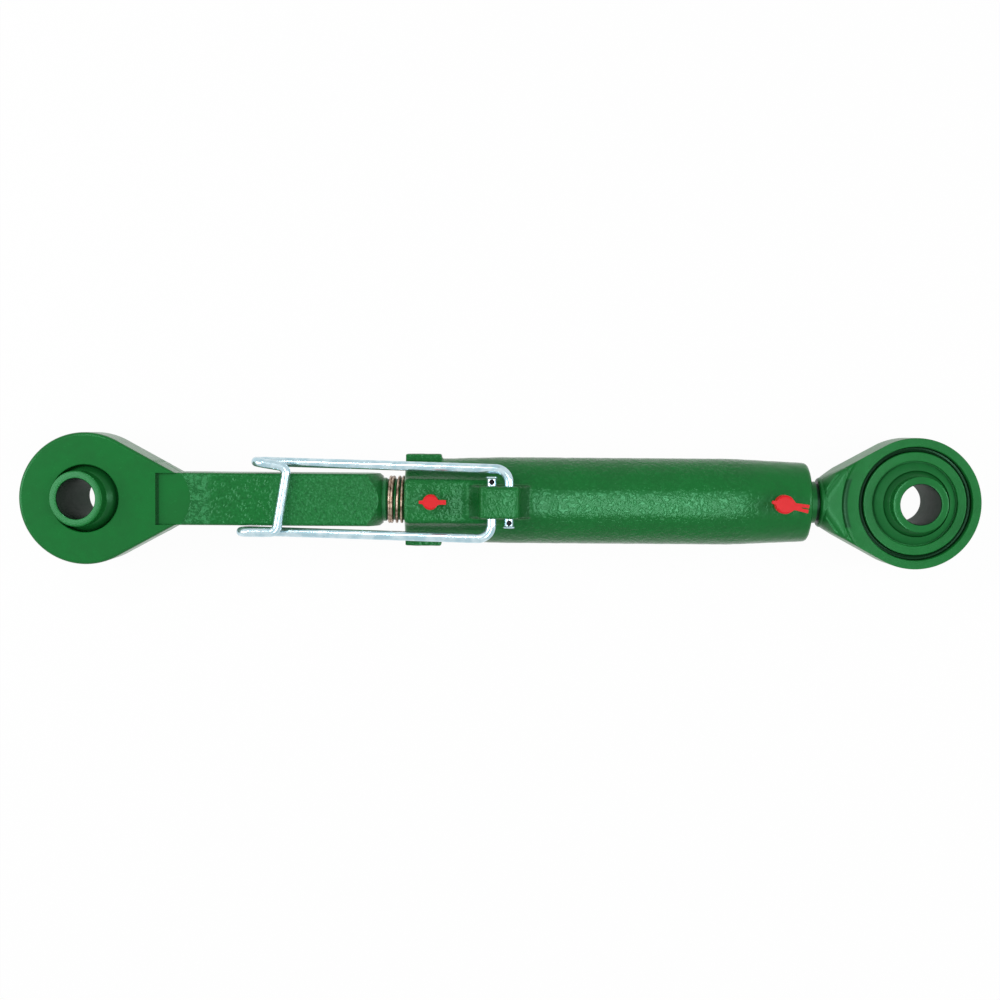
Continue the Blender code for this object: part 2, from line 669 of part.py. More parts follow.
def thread_spring():
    """The open coil round the thread, between the bar's collar and the barrel's face."""
    start = BAR_END + COLLAR_LENGTH + CLEARANCE + SPRING_WIRE
    end = BARREL_FRONT - CLEARANCE - SPRING_WIRE
    radius = THREAD_RADIUS + CLEARANCE + SPRING_WIRE
    coil = helix(end - start, radius, SPRING_TURNS, "X", 18)
    return finish(tube("thread_spring", coil, SPRING_WIRE, 6, at(start)), SPRING_STEEL)


# Grease fittings and their caps


def grease_fitting(name, place):
    """A straight grease fitting: threaded stem, hexagon, and a head whose seat the check ball closes."""
    head = FITTING_HEIGHT
    neck = FITTING_HEAD_RADIUS - FITTING_EDGE
    collar = FITTING_STEM_RADIUS + CLEARANCE
    throat = FITTING_BORE_RADIUS / 2
    edge = FITTING_EDGE / 2
    profile = [
        (throat, head),
        (neck, head),
        (FITTING_HEAD_RADIUS, head - FITTING_EDGE),
        (FITTING_HEAD_RADIUS, head - FITTING_EDGE * 2.4),
        (neck, head - FITTING_EDGE * 3.8),
        (neck, FITTING_HEX_HEIGHT),
        (collar, FITTING_HEX_HEIGHT),
        (collar, 0.0),
        (FITTING_STEM_RADIUS, -SLIVER),
        (FITTING_STEM_RADIUS, -FITTING_STEM_LENGTH),
        (throat, -FITTING_STEM_LENGTH),
        (throat, -FITTING_STEM_LENGTH + FITTING_FLOOR),
        (FITTING_BORE_RADIUS, -FITTING_STEM_LENGTH + FITTING_FLOOR),
        (FITTING_BORE_RADIUS, head - FITTING_EDGE * 2),
        (throat, head - FITTING_EDGE),
    ]
    fitting = turned(name, profile, place, steps=FINE_STEPS, closed=True)
    corner = FITTING_HEX_HALF / math.cos(math.pi / 6)
    inner = (FITTING_BORE_RADIUS + FITTING_STEM_RADIUS) / 2 / math.cos(math.pi / 6)
    ring = [
        (inner, FITTING_HEX_HEIGHT - edge),
        (corner - edge, FITTING_HEX_HEIGHT - edge / 4),
        (corner, FITTING_HEX_HEIGHT - edge),
        (corner, edge / 2),
        (inner, edge / 2),
    ]
    boolean(fitting, "UNION", turned(name + "_hexagon", ring, place, steps=6, closed=True))
    return finish(fitting, ZINC)


def check_parts(end, place):
    """The ball that shuts the fitting, and the small coil that holds it up."""
    rise = CHECK_BALL_RADIUS + CLEARANCE
    ball_height = FITTING_HEIGHT - FITTING_EDGE - rise
    centre = place + Vector((0, 0, ball_height))
    finish(sphere(f"{end}_check_ball", CHECK_BALL_RADIUS, centre, 16), BRIGHT_STEEL)
    foot = -FITTING_STEM_LENGTH + FITTING_FLOOR + CLEARANCE + CHECK_SPRING_WIRE
    top = ball_height - CHECK_BALL_RADIUS - CLEARANCE - CHECK_SPRING_WIRE
    radius = FITTING_BORE_RADIUS - CLEARANCE - CHECK_SPRING_WIRE
    coil = helix(top - foot, radius, CHECK_SPRING_TURNS, "Z", 8)
    start = place + Vector((0, 0, foot))
    finish(tube(f"{end}_check_spring", coil, CHECK_SPRING_WIRE, 6, start), BRIGHT_STEEL)


def grease_cap(name, place, radius, tab, tilt):
    """A soft cup that snaps over the fitting's head, with a pull tab on its roof."""
    inner = FITTING_HEAD_RADIUS + CLEARANCE
    ceiling = CAP_HEIGHT - CAP_ROOF
    profile = [
        (0.0, CAP_HEIGHT),
        (radius - CAP_EDGE, CAP_HEIGHT - CAP_EDGE / 8),
        (radius - CAP_EDGE * 0.3, CAP_HEIGHT - CAP_EDGE * 0.4),
        (radius, CAP_HEIGHT - CAP_EDGE),
        (radius, 0.0),
        (inner, 0.0),
        (inner, ceiling),
        (0.0, ceiling),
    ]
    cap = turned(name, profile, place, steps=FINE_STEPS)
    low = place.z - AXIS_HEIGHT + ceiling + SLIVER
    strap = prism(name + "_tab", tab, low, low + TAB_THICKNESS, middle=(place.x, 0.0, 0.0))
    strap.rotation_euler = (0, 0, tilt)
    boolean(cap, "UNION", strap)
    return finish(cap, RED_PLASTIC)


def tab_outline(radius, nub, reach, half_tip, notch):
    """The pull tab seen from above: a pointed nub, the tangents to the cup, and a tongue."""
    upper = [
        (-nub, 2 * SLIVER),
        (-radius * 0.72, radius * 0.70),
        (radius * 0.68, radius * 0.70),
        (radius * 1.04, TAB_HALF),
        (reach, half_tip),
    ]
    lower = [(along, -across) for along, across in reversed(upper)]
    return upper + [(reach - notch, 0.0)] + lower


def grease_points():
    """Both fittings, with what is in them and the cap on each."""
    stand = Vector((0, 0, FITTING_HEX_HEIGHT + CLEARANCE))
    small = tab_outline(FRONT_CAP_RADIUS, FRONT_TAB_NUB, FRONT_TAB_REACH, TAB_HALF, 0.0)
    large = tab_outline(REAR_CAP_RADIUS, REAR_TAB_NUB, REAR_TAB_REACH, REAR_TAB_TIP, REAR_TAB_NOTCH)
    front = at(FRONT_FITTING_X, 0.0, BOSS_TOP + CLEARANCE)
    rear = at(REAR_FITTING_X, 0.0, FITTING_SPOT_FACE + CLEARANCE)
    grease_fitting("front_grease_fitting", front)
    grease_fitting("rear_grease_fitting", rear)
    check_parts("front", front)
    check_parts("rear", rear)
    grease_cap("front_grease_cap", front + stand, FRONT_CAP_RADIUS, small, 0.0)
    grease_cap("rear_grease_cap", rear + stand, REAR_CAP_RADIUS, large, REAR_TAB_TURN)


# Assembly

barrel()
front_screw()
rear_screw()
swivel_ball("front_ball", FRONT_EYE, SWIVEL)
swivel_ball("rear_ball", REAR_EYE, 0.0)
lock_wire()
thread_spring()
grease_points()
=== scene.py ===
# %% [markdown]
# Tractor top link
#
# A top link is a turnbuckle: one cast barrel on two screws, a left-hand one and a right-hand one. Turning
# the barrel pushes both screws out. This lesson dresses the CAD model of such a link, piece by piece, with
# Blender's own operators. The CAD nodes that can be seen are replaced by finer pieces of the same sizes,
# and the ones deep inside keep their mesh and get a better finish.

# %% The frame
import math

import bmesh
import bpy
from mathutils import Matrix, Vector


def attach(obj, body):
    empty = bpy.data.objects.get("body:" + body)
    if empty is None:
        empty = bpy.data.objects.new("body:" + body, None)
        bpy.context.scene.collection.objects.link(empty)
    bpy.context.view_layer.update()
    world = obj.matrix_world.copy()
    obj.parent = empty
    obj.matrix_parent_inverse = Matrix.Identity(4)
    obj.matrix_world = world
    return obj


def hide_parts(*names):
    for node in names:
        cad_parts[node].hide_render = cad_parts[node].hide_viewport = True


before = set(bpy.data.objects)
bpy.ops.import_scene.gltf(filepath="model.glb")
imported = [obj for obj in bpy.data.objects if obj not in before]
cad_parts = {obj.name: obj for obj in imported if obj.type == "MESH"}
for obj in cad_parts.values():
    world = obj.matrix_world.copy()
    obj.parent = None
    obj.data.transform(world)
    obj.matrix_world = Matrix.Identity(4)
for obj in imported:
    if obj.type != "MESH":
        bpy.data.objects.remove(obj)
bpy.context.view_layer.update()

# %% [markdown]
# The sizes come first. They are the same as the CAD model's, in metres, so that every new piece lies where
# its node lies. X runs along the link and Z points up from the floor. Heights are taken from the link's
# own axis, because everything on it is turned, bored or bent about that line.

# %% Sizes along the link
AXIS_HEIGHT = 0.0278601
CLEARANCE = 0.0003
FRONT_EYE = -0.26425
REAR_EYE = 0.26425
BAR_START = -0.22125
BAR_END = -0.07625
BARREL_FRONT = -0.06125
BARREL_REAR = 0.19475
SHOULDER = 0.20325
LUG_X = -0.00125
FRONT_FITTING_X = -0.04425
REAR_FITTING_X = 0.17675
SWIVEL = math.radians(9.5494)


def at(x, y=0.0, height=0.0):
    """A point along, across and above the link's axis."""
    return Vector((x, y, AXIS_HEIGHT + height))


print("pin to pin, closed:", round((REAR_EYE - FRONT_EYE) * 1000, 1), "mm")

# %% [markdown]
# The camera stands a metre above the link and looks down on it, a little from the +Y side, as the walls
# that show at both eyes tell. The link lies a touch clockwise in the picture, so the camera is turned the
# other way.

# %% Camera
CAMERA_DISTANCE = 1.0
CAMERA_X = -0.00125
CAMERA_LEAN = math.radians(2.59)
CAMERA_ROLL = math.radians(0.41)
FOCAL_SHARE = 1.55
SENSOR = 36.0

place = at(CAMERA_X, CAMERA_DISTANCE * math.tan(CAMERA_LEAN), CAMERA_DISTANCE)
bpy.ops.object.camera_add(location=place, rotation=(-CAMERA_LEAN, 0.0, CAMERA_ROLL))
camera = bpy.context.object
camera.name = "photo_camera"
camera.data.sensor_width = SENSOR
camera.data.lens = FOCAL_SHARE * SENSOR
camera.data.clip_start = 0.01
camera.data.clip_end = 20.0
bpy.context.scene.camera = camera
print("focal length:", round(camera.data.lens, 1), "mm on a 36 mm sensor")

# %% [markdown]
# A material is a small sum of numbers that change over the surface. Writing those sums as plain Python
# keeps them readable, so a class wraps one socket and turns each operator into a Math node. A second class
# holds the material and adds any other node.

# %% Shader sums
MM = 1000.0  # millimetres in a metre, because patterns are written in millimetres


def maths(operation, swap=False):
    """A method that makes one Math node of a reading and, where it takes one, another value."""
    return lambda self, other=0.0: self.sum_with(operation, other, swap)


class Reading:
    """A value at a socket. Sums of readings become Math nodes."""

    def __init__(self, tree, socket):
        self.tree = tree
        self.socket = socket

    def sum_with(self, operation, other, swap):
        node = self.tree.nodes.new("ShaderNodeMath")
        node.operation = operation
        pair = (other, self) if swap else (self, other)
        for slot, value in zip(node.inputs, pair):
            feed(self.tree, slot, value)
        return Reading(self.tree, node.outputs[0])

    __add__ = maths("ADD")
    __radd__ = maths("ADD", True)
    __sub__ = maths("SUBTRACT")
    __rsub__ = maths("SUBTRACT", True)
    __mul__ = maths("MULTIPLY")
    __rmul__ = maths("MULTIPLY", True)
    __pow__ = maths("POWER")
    least = maths("MINIMUM")
    most = maths("MAXIMUM")
    size = maths("ABSOLUTE")
    sine = maths("SINE")

    def wave(self):
        """The sine, moved to between 0 and 1."""
        return (self.sine() + 1.0) * 0.5


def span(first, second):
    """The length of a line, from how far it goes in two directions."""
    return (first ** 2.0 + second ** 2.0) ** 0.5


def feed(tree, slot, value):
    """Links a reading to a socket, or sets a plain number, colour or vector on it."""
    if isinstance(value, Reading):
        tree.links.new(value.socket, slot)
    elif slot.type == "RGBA" and len(value) == 3:
        slot.default_value = (*value, 1.0)
    else:
        slot.default_value = value


def add_node(tree, kind, inputs=None, output=0, **settings):
    """Any other node: its settings first, then its inputs. Output None gives all of its outputs."""
    node = tree.nodes.new("ShaderNode" + kind)
    for key, value in settings.items():
        setattr(node, key, value)
    for slot, value in (inputs or {}).items():
        feed(tree, node.inputs[slot], value)
    if output is None:
        return [Reading(tree, socket) for socket in node.outputs]
    return Reading(tree, node.outputs[output])


class Finish:
    """One material, with the nodes that its patterns need."""

    def __init__(self, name, **shader):
        self.material = bpy.data.materials.new(name)
        self.material.use_nodes = True
        self.tree = self.material.node_tree
        self.shader = self.tree.nodes["Principled BSDF"]
        for socket, value in shader.items():
            feed(self.tree, self.shader.inputs[socket.replace("_", " ")], value)

    def add(self, kind, inputs=None, output=0, **settings):
        return add_node(self.tree, kind, inputs, output, **settings)

    def place(self):
        """The point on the piece in millimetres, from its object coordinates."""
        spot = self.add("TexCoord", output="Object")
        return self.add("VectorMath", {0: spot, 3: MM}, operation="SCALE")

    def split(self, vector):
        return self.add("SeparateXYZ", {0: vector}, None)

    def noise(self, vector, grain, detail=2.0, roughness=0.5, stretch=None):
        """Cloudy noise from 0 to 1 whose blobs are about a grain wide, in millimetres."""
        if stretch:
            vector = self.add("VectorMath", {0: vector, 1: stretch}, operation="MULTIPLY")
        inputs = {"Vector": vector, "Scale": 1.0 / grain, "Detail": detail, "Roughness": roughness}
        return self.add("TexNoise", inputs)

    def cells(self, vector, grain):
        """How far a point is from the middle of its cell. Cells are about a grain wide."""
        return self.add("TexVoronoi", {"Vector": vector, "Scale": 1.0 / grain})

    def band(self, value, low, high, fade):
        """1 between low and high, 0 outside, with soft edges."""
        return self.ramp(value, low - fade, low + fade) - self.ramp(value, high - fade, high + fade)

    def ramp(self, value, low, high, bottom=0.0, top=1.0):
        inputs = {"Value": value, "From Min": low, "From Max": high, "To Min": bottom, "To Max": top}
        return self.add("MapRange", inputs, interpolation_type="SMOOTHSTEP")

    def mix(self, share, first, second):
        """A colour between two others. A share outside 0 to 1 is cut off there."""
        return self.add("Mix", {0: share, 6: first, 7: second}, 2, data_type="RGBA")

    def done(self, colour, rough, height):
        """Sets the three that vary. A height in millimetres becomes a bump of that real height."""
        bump = self.add("Bump", {"Distance": 1.0 / MM, "Height": height})
        for socket, value in (("Base Color", colour), ("Roughness", rough), ("Normal", bump)):
            feed(self.tree, self.shader.inputs[socket], value)
        return self.material


print("shader sums ready")

# %% [markdown]
# Green enamel covers all the cast and forged steel, the balls too. What tells the surfaces apart is the
# steel under the paint: turned and faced places are smooth with faint tool rings, forged places have a fine
# orange skin, and cast or hammered places are wrinkled. So one function paints them all, and each piece
# says how high its wrinkles are, where, and where its painted highlights and painted shade lie.

# %% Green enamel
GREEN = (0.0085, 0.1460, 0.0265)
GREEN_WARM = (0.0100, 0.1310, 0.0255)
# GREEN_PALE goes on as painted highlight, GREEN_DEEP as painted shade and dark specks, and the near black as
# bare bore steel and the darkest painted shade.
GREEN_PALE = (0.0500, 0.2700, 0.1000)
GREEN_DEEP = (0.0025, 0.0480, 0.0095)
BORE_STEEL_AND_SHADE = (0.0020, 0.0040, 0.0028)


def enamel(name, relief):
    """Green paint. relief is a function that returns the height in millimetres, how pale, how deep and how
    rough the paint looks, from the finish and the place. Pale is mostly painted highlight and deep is mostly
    painted shade. Deeper than 1 goes on towards near black, which is bare steel in a bore and painted shade
    in the darkest grooves."""
    coat = Finish(name, Specular_IOR_Level=0.30, Specular_Tint=(0.40, 1.0, 0.62, 1.0), IOR=1.5)
    place = coat.place()
    height, pale, deep, rough = relief(coat, place)
    drift = coat.noise(place, 26.0, 3.0)
    patch = coat.noise(place, 5.0, 4.0, 0.6)
    base = coat.mix(coat.ramp(drift * 0.6 + patch * 0.4, 0.38, 0.62), GREEN_WARM, GREEN)
    specks = coat.ramp(coat.cells(place, 6.5), 0.05, 0.035)
    specks = specks * coat.ramp(coat.noise(place, 14.0), 0.50, 0.58)
    deep = (specks * 0.7).most(deep)
    # Painted highlight, then painted shade, then near black for bores and the darkest painted shade.
    for share, colour in ((pale, GREEN_PALE), (deep, GREEN_DEEP), (deep - 1.0, BORE_STEEL_AND_SHADE)):
        base = coat.mix(share, base, colour)
    skin = coat.noise(place, 0.9, 2.0) * 0.010
    return coat.done(base, rough + (patch - 0.5) * 0.10, height + skin)


def forged(coat, place):
    """Forged and machined faces: a fine skin and slow waves."""
    height = coat.noise(place, 7.0, 3.0) * 0.05 + coat.noise(place, 1.6, 3.0) * 0.018
    return height, 0.0, 0.0, coat.noise(place, 3.0) * 0.08 + 0.30


def creases(coat, place, width, tightness):
    """Worm-like folds from 0 to 1, as thick paint leaves on a rough casting."""
    bend = coat.noise(place, width * 1.5, 2.0)
    worms = coat.noise(place, width, 2.0, 0.45) + bend * 0.35
    return (worms * tightness).wave()


CAST_CALM = 150.0, 165.0  # where the skin turns smoother, along the link in millimetres
CROWN_HALF = 7.4  # half of the strip along the top where the folds shine


def cast(coat, place):
    """The barrel's wrinkled skin, which is smoother near its rear end. Its pale is a painted highlight along
    the top and on the crests, and its deep is painted shade beside the boss, round the lug and in the crease
    valleys.
    """
    along, across, up = coat.split(place)
    folds = creases(coat, place, 3.4, 16.0)
    crests, valleys = folds ** 3.0, (1.0 - folds) ** 3.0
    calm = coat.ramp(along, *CAST_CALM, 1.0, 0.25)
    height = folds * calm * 0.15 + coat.noise(place, 9.0, 3.0) * 0.25
    # Painted highlight where the overhead strip shines along the top, and faintly on every crest.
    strip_highlight = coat.band(across, -CROWN_HALF, CROWN_HALF, 0.8) * coat.ramp(up, 50.0, 52.0)
    runs = coat.band(along, 21.0, 154.0, 3.0) + coat.band(along, -62.0, -50.0, 3.0) * 0.6
    runs = runs + coat.band(along, 0.0, 6.0, 2.5) * 0.8
    pale = strip_highlight * runs * (crests * 0.85 + 0.22) + crests * calm * 0.06
    # Painted shadow of the lock wire's legs, beside the boss.
    beside = coat.band(across.size(), 13.6, 18.5, 0.9) * coat.band(along, -61.0, -9.0, 2.0)
    beside = beside * coat.ramp(up, 40.0, 42.0)
    # Painted shade in the hollow flanks at the lug's foot.
    hollow = coat.band((along - LUG_X * MM).size(), 12.6, 19.0, 0.7)
    hollow = hollow * coat.band(across, -10.4, 10.4, 0.3) * coat.ramp(up, 53.0, 55.5)
    deep = (beside * 0.60).most(hollow * 0.60).most(valleys * calm * 0.12)
    return height, pale, deep, coat.noise(place, 2.5) * 0.10 + 0.18


print("enamel ready")

# %% Zinc, spring wire, bright steel and red plastic


def zinc_plate(name, *holes):
    """Bright plate. holes are points whose upright holes of 1.7 mm are painted near black inside, as painted
    shade.
    """
    coat = Finish(name, Metallic=0.85, IOR=1.5)
    place = coat.place()
    cloud = coat.noise(place, 6.0, 3.0)
    streaks = coat.noise(place, 1.1, 3.0, 0.6, (0.12, 1.0, 1.0))
    colour = coat.mix(coat.ramp(cloud, 0.35, 0.65), (0.44, 0.64, 0.72), (0.64, 0.80, 0.86))
    nicks = coat.ramp(coat.cells(place, 8.0), 0.05, 0.03)
    colour = coat.mix(nicks * 0.75, colour, (0.10, 0.12, 0.13))
    for hole in holes:
        spot = coat.add("VectorMath", {0: place, 1: hole * MM}, operation="SUBTRACT")
        along, across, _ = coat.split(spot)
        # Painted shade: near black inside each hole.
        inside = coat.ramp(span(along, across), 1.78, 1.72)
        colour = coat.mix(inside, colour, (0.004, 0.004, 0.005))
    return coat.done(colour, streaks * 0.14 + 0.12, streaks * 0.012 + cloud * 0.03)


def plain_finish(name, cloud, colours, fine, rough, height, fade=None, **shader):
    """Two colours in soft clouds, and a fine grain in the gloss and the relief. A cloud and a grain are each
    given as a width and a detail, and rough as how much it varies and its least."""
    coat = Finish(name, **shader)
    place = coat.place()
    share = coat.noise(place, *cloud)
    colour = coat.mix(coat.ramp(share, *fade) if fade else share, *colours)
    grain = coat.noise(place, *fine)
    return coat.done(colour, grain * rough[0] + rough[1], grain * height)


ZINC = zinc_plate("zinc_plate_fittings")
SPRING = plain_finish(
    "spring_wire_bronze", (2.4, 3.0), ((0.20, 0.12, 0.08), (0.62, 0.46, 0.36)),
    (0.35, 2.0), (0.2, 0.22), 0.006, fade=(0.35, 0.65), Metallic=0.7,
)
BRIGHT = plain_finish(
    "check_steel", (0.8, 2.0), ((0.48, 0.49, 0.50), (0.62, 0.62, 0.63)),
    (0.8, 2.0), (0.1, 0.15), 0.002, Metallic=1.0,
)
RED = plain_finish(
    "red_cap_plastic", (3.0, 2.0), ((0.66, 0.008, 0.012), (0.75, 0.012, 0.018)),
    (0.4, 2.0), (0.12, 0.36), 0.008, Specular_IOR_Level=0.2, IOR=1.46,
)
print("finishes:", ZINC.name, SPRING.name, BRIGHT.name, RED.name)

# %% [markdown]
# Next come the hands. Each helper does what one would do by hand at the screen: add a primitive, select
# some of it by place, extrude, resize, cut, bevel. The turned shapes start as a circle on the axis that is
# extruded and resized once for each step of the profile, like a lathe in slow motion.

# %% Helpers that work as hands
ALONG = {"X": (0.0, math.pi / 2, 0.0), "Y": (math.pi / 2, 0.0, 0.0), "Z": (0.0, 0.0, 0.0)}
MERGE = 0.000002  # points nearer than this become one
STEP = {"X": Vector((1, 0, 0)), "Y": Vector((0, -1, 0)), "Z": Vector((0, 0, 1))}


def only(*pieces):
    """Selects these pieces and nothing else. The first one is active."""
    if bpy.context.object and bpy.context.object.mode != "OBJECT":
        bpy.ops.object.mode_set(mode="OBJECT")
    bpy.ops.object.select_all(action="DESELECT")
    for piece in pieces:
        piece.select_set(True)
    bpy.context.view_layer.objects.active = pieces[0]


class Editing:
    """Edit mode for as long as a block lasts, with all of the piece selected at its start."""

    def __init__(self, piece):
        self.piece = piece

    def __enter__(self):
        only(self.piece)
        bpy.ops.object.mode_set(mode="EDIT")
        bpy.ops.mesh.select_all(action="SELECT")

    def __exit__(self, *error):
        bpy.ops.object.mode_set(mode="OBJECT")


def fresh(name):
    """Names the primitive that was just added."""
    piece = bpy.context.object
    piece.name = name
    piece.data.name = name
    return piece


def pick(piece, test):
    """In edit mode: selects the vertices whose world place passes the test, and what they span."""
    bpy.ops.mesh.select_mode(type="VERT")
    mesh = bmesh.from_edit_mesh(piece.data)
    world = piece.matrix_world
    for part in (mesh.faces, mesh.edges, mesh.verts):
        for element in part:
            element.select = False
    for vertex in mesh.verts:
        vertex.select = test(world @ vertex.co)
    mesh.select_flush(True)
    bmesh.update_edit_mesh(piece.data)


def settle(piece):
    """Puts the piece's place, turn and size into its mesh."""
    only(piece)
    bpy.ops.object.transform_apply(location=True, rotation=True, scale=True)
    return piece


def lathe(name, profile, origin, axis="X", steps=96):
    """Turns a profile of (radius, distance) pairs. Radius 0 at an end closes it with a face, and a last
    pair that equals the first makes a ring."""
    capped, closed_end = profile[0][0] == 0.0, profile[-1][0] == 0.0
    points = [pair for pair in profile if pair[0] > 0.0]
    radius, distance = points[0]
    bpy.ops.mesh.primitive_circle_add(
        vertices=steps,
        radius=radius,
        fill_type="NGON" if capped else "NOTHING",
        location=origin + STEP[axis] * distance,
        rotation=ALONG[axis],
    )
    piece = fresh(name)
    with Editing(piece):
        if capped:
            bpy.ops.mesh.duplicate()
            bpy.ops.mesh.delete(type="ONLY_FACE")
            pick_loose_ring(piece)
        for next_radius, next_distance in points[1:]:
            move = STEP[axis] * (next_distance - distance)
            bpy.ops.mesh.extrude_edges_move(TRANSFORM_OT_translate={"value": move})
            if next_radius != radius:
                share = next_radius / radius
                centre = origin + STEP[axis] * next_distance
                bpy.ops.transform.resize(value=(share, share, share), center_override=centre)
            radius, distance = next_radius, next_distance
        if closed_end:
            bpy.ops.mesh.edge_face_add()
        bpy.ops.mesh.select_all(action="SELECT")
        if capped or profile[0] == profile[-1]:
            bpy.ops.mesh.remove_doubles(threshold=MERGE)
        bpy.ops.mesh.normals_make_consistent(inside=False)
    return settle(piece)


def pick_loose_ring(piece):
    """In edit mode: selects the edges that belong to no face."""
    bpy.ops.mesh.select_mode(type="EDGE")
    mesh = bmesh.from_edit_mesh(piece.data)
    for face in mesh.faces:
        face.select = False
    for edge in mesh.edges:
        edge.select = not edge.link_faces
    mesh.select_flush(True)
    bmesh.update_edit_mesh(piece.data)


def block(name, low, high):
    """A box between two corners."""
    low, high = Vector(low), Vector(high)
    bpy.ops.mesh.primitive_cube_add(size=1.0, location=(low + high) / 2)
    piece = fresh(name)
    piece.scale = high - low
    return settle(piece)


def drum(name, radius, depth, place, axis="Z", steps=96):
    """A round plug about a point."""
    bpy.ops.mesh.primitive_cylinder_add(
        vertices=steps, radius=radius, depth=depth, location=place, rotation=ALONG[axis]
    )
    return settle(fresh(name))


def slab(name, outline, origin, low, high, axis="Z"):
    """A plate: a flat outline, raised from low to high along an axis. Along Y, the outline's second
    number is the height."""
    bpy.ops.mesh.primitive_circle_add(vertices=len(outline), radius=0.001, fill_type="NGON", location=origin)
    piece = fresh(name)
    with Editing(piece):
        mesh = bmesh.from_edit_mesh(piece.data)
        mesh.verts.ensure_lookup_table()
        for vertex, (along, up) in zip(mesh.verts, outline):
            vertex.co = (along, low, up) if axis == "Y" else (along, up, low)
        bmesh.update_edit_mesh(piece.data)
        rise = (0, high - low, 0) if axis == "Y" else (0, 0, high - low)
        bpy.ops.mesh.extrude_region_move(TRANSFORM_OT_translate={"value": rise})
        bpy.ops.mesh.select_all(action="SELECT")
        bpy.ops.mesh.normals_make_consistent(inside=False)
    return piece


def apply_modifier(piece, kind, **settings):
    only(piece)
    modifier = piece.modifiers.new(kind.title(), kind)
    for key, value in settings.items():
        setattr(modifier, key, value)
    bpy.ops.object.modifier_apply(modifier=modifier.name)
    return piece


def shape_with(piece, operation, *tools):
    """Joins, cuts or keeps the overlap with each tool, which is used up."""
    for tool in tools:
        apply_modifier(piece, "BOOLEAN", operation=operation, solver="EXACT", object=tool)
        bpy.data.objects.remove(tool, do_unlink=True)
    return piece


def round_edges(piece, width, segments, angle):
    """Bevels the edges that are sharper than the angle."""
    sharper = math.radians(angle)
    return apply_modifier(
        piece, "BEVEL", width=width, segments=segments, limit_method="ANGLE", angle_limit=sharper
    )


def plug(radius, low, high):
    """A plain round profile for the lathe."""
    return [(0.0, low), (radius, low), (radius, high), (0.0, high)]


def join(first, *others):
    only(first, *others)
    bpy.ops.object.join()
    return first


def bent_wire(name, route, radius, roundness):
    """A round wire along the points, as a closed mesh."""
    bpy.ops.object.select_all(action="DESELECT")
    bpy.ops.curve.primitive_nurbs_path_add(location=(0.0, 0.0, 0.0))
    path = fresh(name)
    path.data.splines.clear()
    spline = path.data.splines.new("POLY")
    spline.points.add(len(route) - 1)
    for point, spot in zip(spline.points, route):
        point.co = (*spot, 1.0)
    path.data.bevel_depth = radius
    path.data.bevel_resolution = roundness
    path.data.use_fill_caps = True
    only(path)
    bpy.ops.object.convert(target="MESH")
    wire = bpy.context.object
    with Editing(wire):
        bpy.ops.mesh.remove_doubles(threshold=MERGE)
        bpy.ops.mesh.normals_make_consistent(inside=False)
    return wire


def helix(turns, steps, radius, along, start, spin):
    """Points wound round the link's axis. along tells how far a turn has come, and a spin of 1 winds them
    with the clock as seen from the rear."""
    route = []
    for i in range(turns * steps + 1):
        angle = start + spin * 2 * math.pi * i / steps
        route.append(at(along(i / steps), radius * math.sin(angle), radius * math.cos(angle)))
    return route


def arc(centre, radius, start, end, count):
    """Points on an arc, both ends included. Angles are in degrees."""
    turns = [math.radians(start + (end - start) * i / count) for i in range(count + 1)]
    return [(centre[0] + radius * math.cos(a), centre[1] + radius * math.sin(a)) for a in turns]


def finish_piece(piece, body, material, slot, *nodes, smooth=32.0):
    """Smooth faces, one material, and its place in the frame."""
    settle(piece)
    piece.data.materials.clear()
    piece.data.materials.append(material)
    bpy.ops.object.shade_smooth_by_angle(angle=math.radians(smooth))
    apply_modifier(piece, "WEIGHTED_NORMAL", keep_sharp=True, weight=80)
    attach(piece, body)
    if nodes:
        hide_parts(*nodes)
    print(piece.name, "has", len(piece.data.polygons), "faces")


# %% [markdown]
# The eyes. Each is a forged disc whose flanks run on to the bar or neck as straight tangents. The hull of a
# disc and a small block at the neck gives just that outline, since a hull's sides are tangents by nature.
# One side is then faced down, the ball's seat is cut out, and the lip that holds the ball is left between
# the seat and the groove of the press.

# %% Eye helpers
EYE_RADIUS = 0.04196
EYE_PLAIN_FACE = 0.0190
EYE_FACED_SIDE = 0.0130
EYE_TAPER = math.radians(28.6)
EYE_EDGE = 0.0022
FACING_RADIUS = 0.0480
RAW_FORGING = 0.0162  # how high the forging is left beyond the facing cut
RAISED_START = FACING_RADIUS * 0.9
RAISED_LENGTH = 0.0040
RAISED_EDGE = 0.0075
LIP_FACE = 0.0110
LIP_RADIUS = 0.0331
LIP_FOOT_RADIUS = 0.0272
LIP_FOOT = 0.0085
LIP_CREST_RADIUS = 0.0212
LIP_CREST = 0.0145
MOUTH_RADIUS = 0.0215
SWAGE_WIDTH = 0.0032
SWAGE_FLOOR = 0.0078
# the round bottom of the groove, as shares of its half width and heights over its floor
SWAGE_ROUND = ((0.92, 0.0012), (0.60, 0.0003), (0.0, 0.0), (-0.60, 0.0003), (-0.92, 0.0012))
COVE = ((0.0, 0.0026), (0.0008, 0.0014), (0.0020, 0.0005), (0.0036, 0.0))  # where the facing cut runs out
BALL_RADIUS = 0.0250
BALL_WIDTH = 0.0508
SLEEVE_RADIUS = 0.01775
PIN_BORE_RADIUS = 0.01285
SEAT_RADIUS = BALL_RADIUS + CLEARANCE
BAR_HALF = 0.01675
NECK_RADIUS = 0.0160
EYE_STEPS = 144
CUT_MERGE = 0.000003
SKIN_VOXEL = 0.00083  # the mesh size of a shape that is remeshed to one soft skin


def flank_end(half_width):
    return (EYE_RADIUS - half_width * math.cos(EYE_TAPER)) / math.sin(EYE_TAPER)


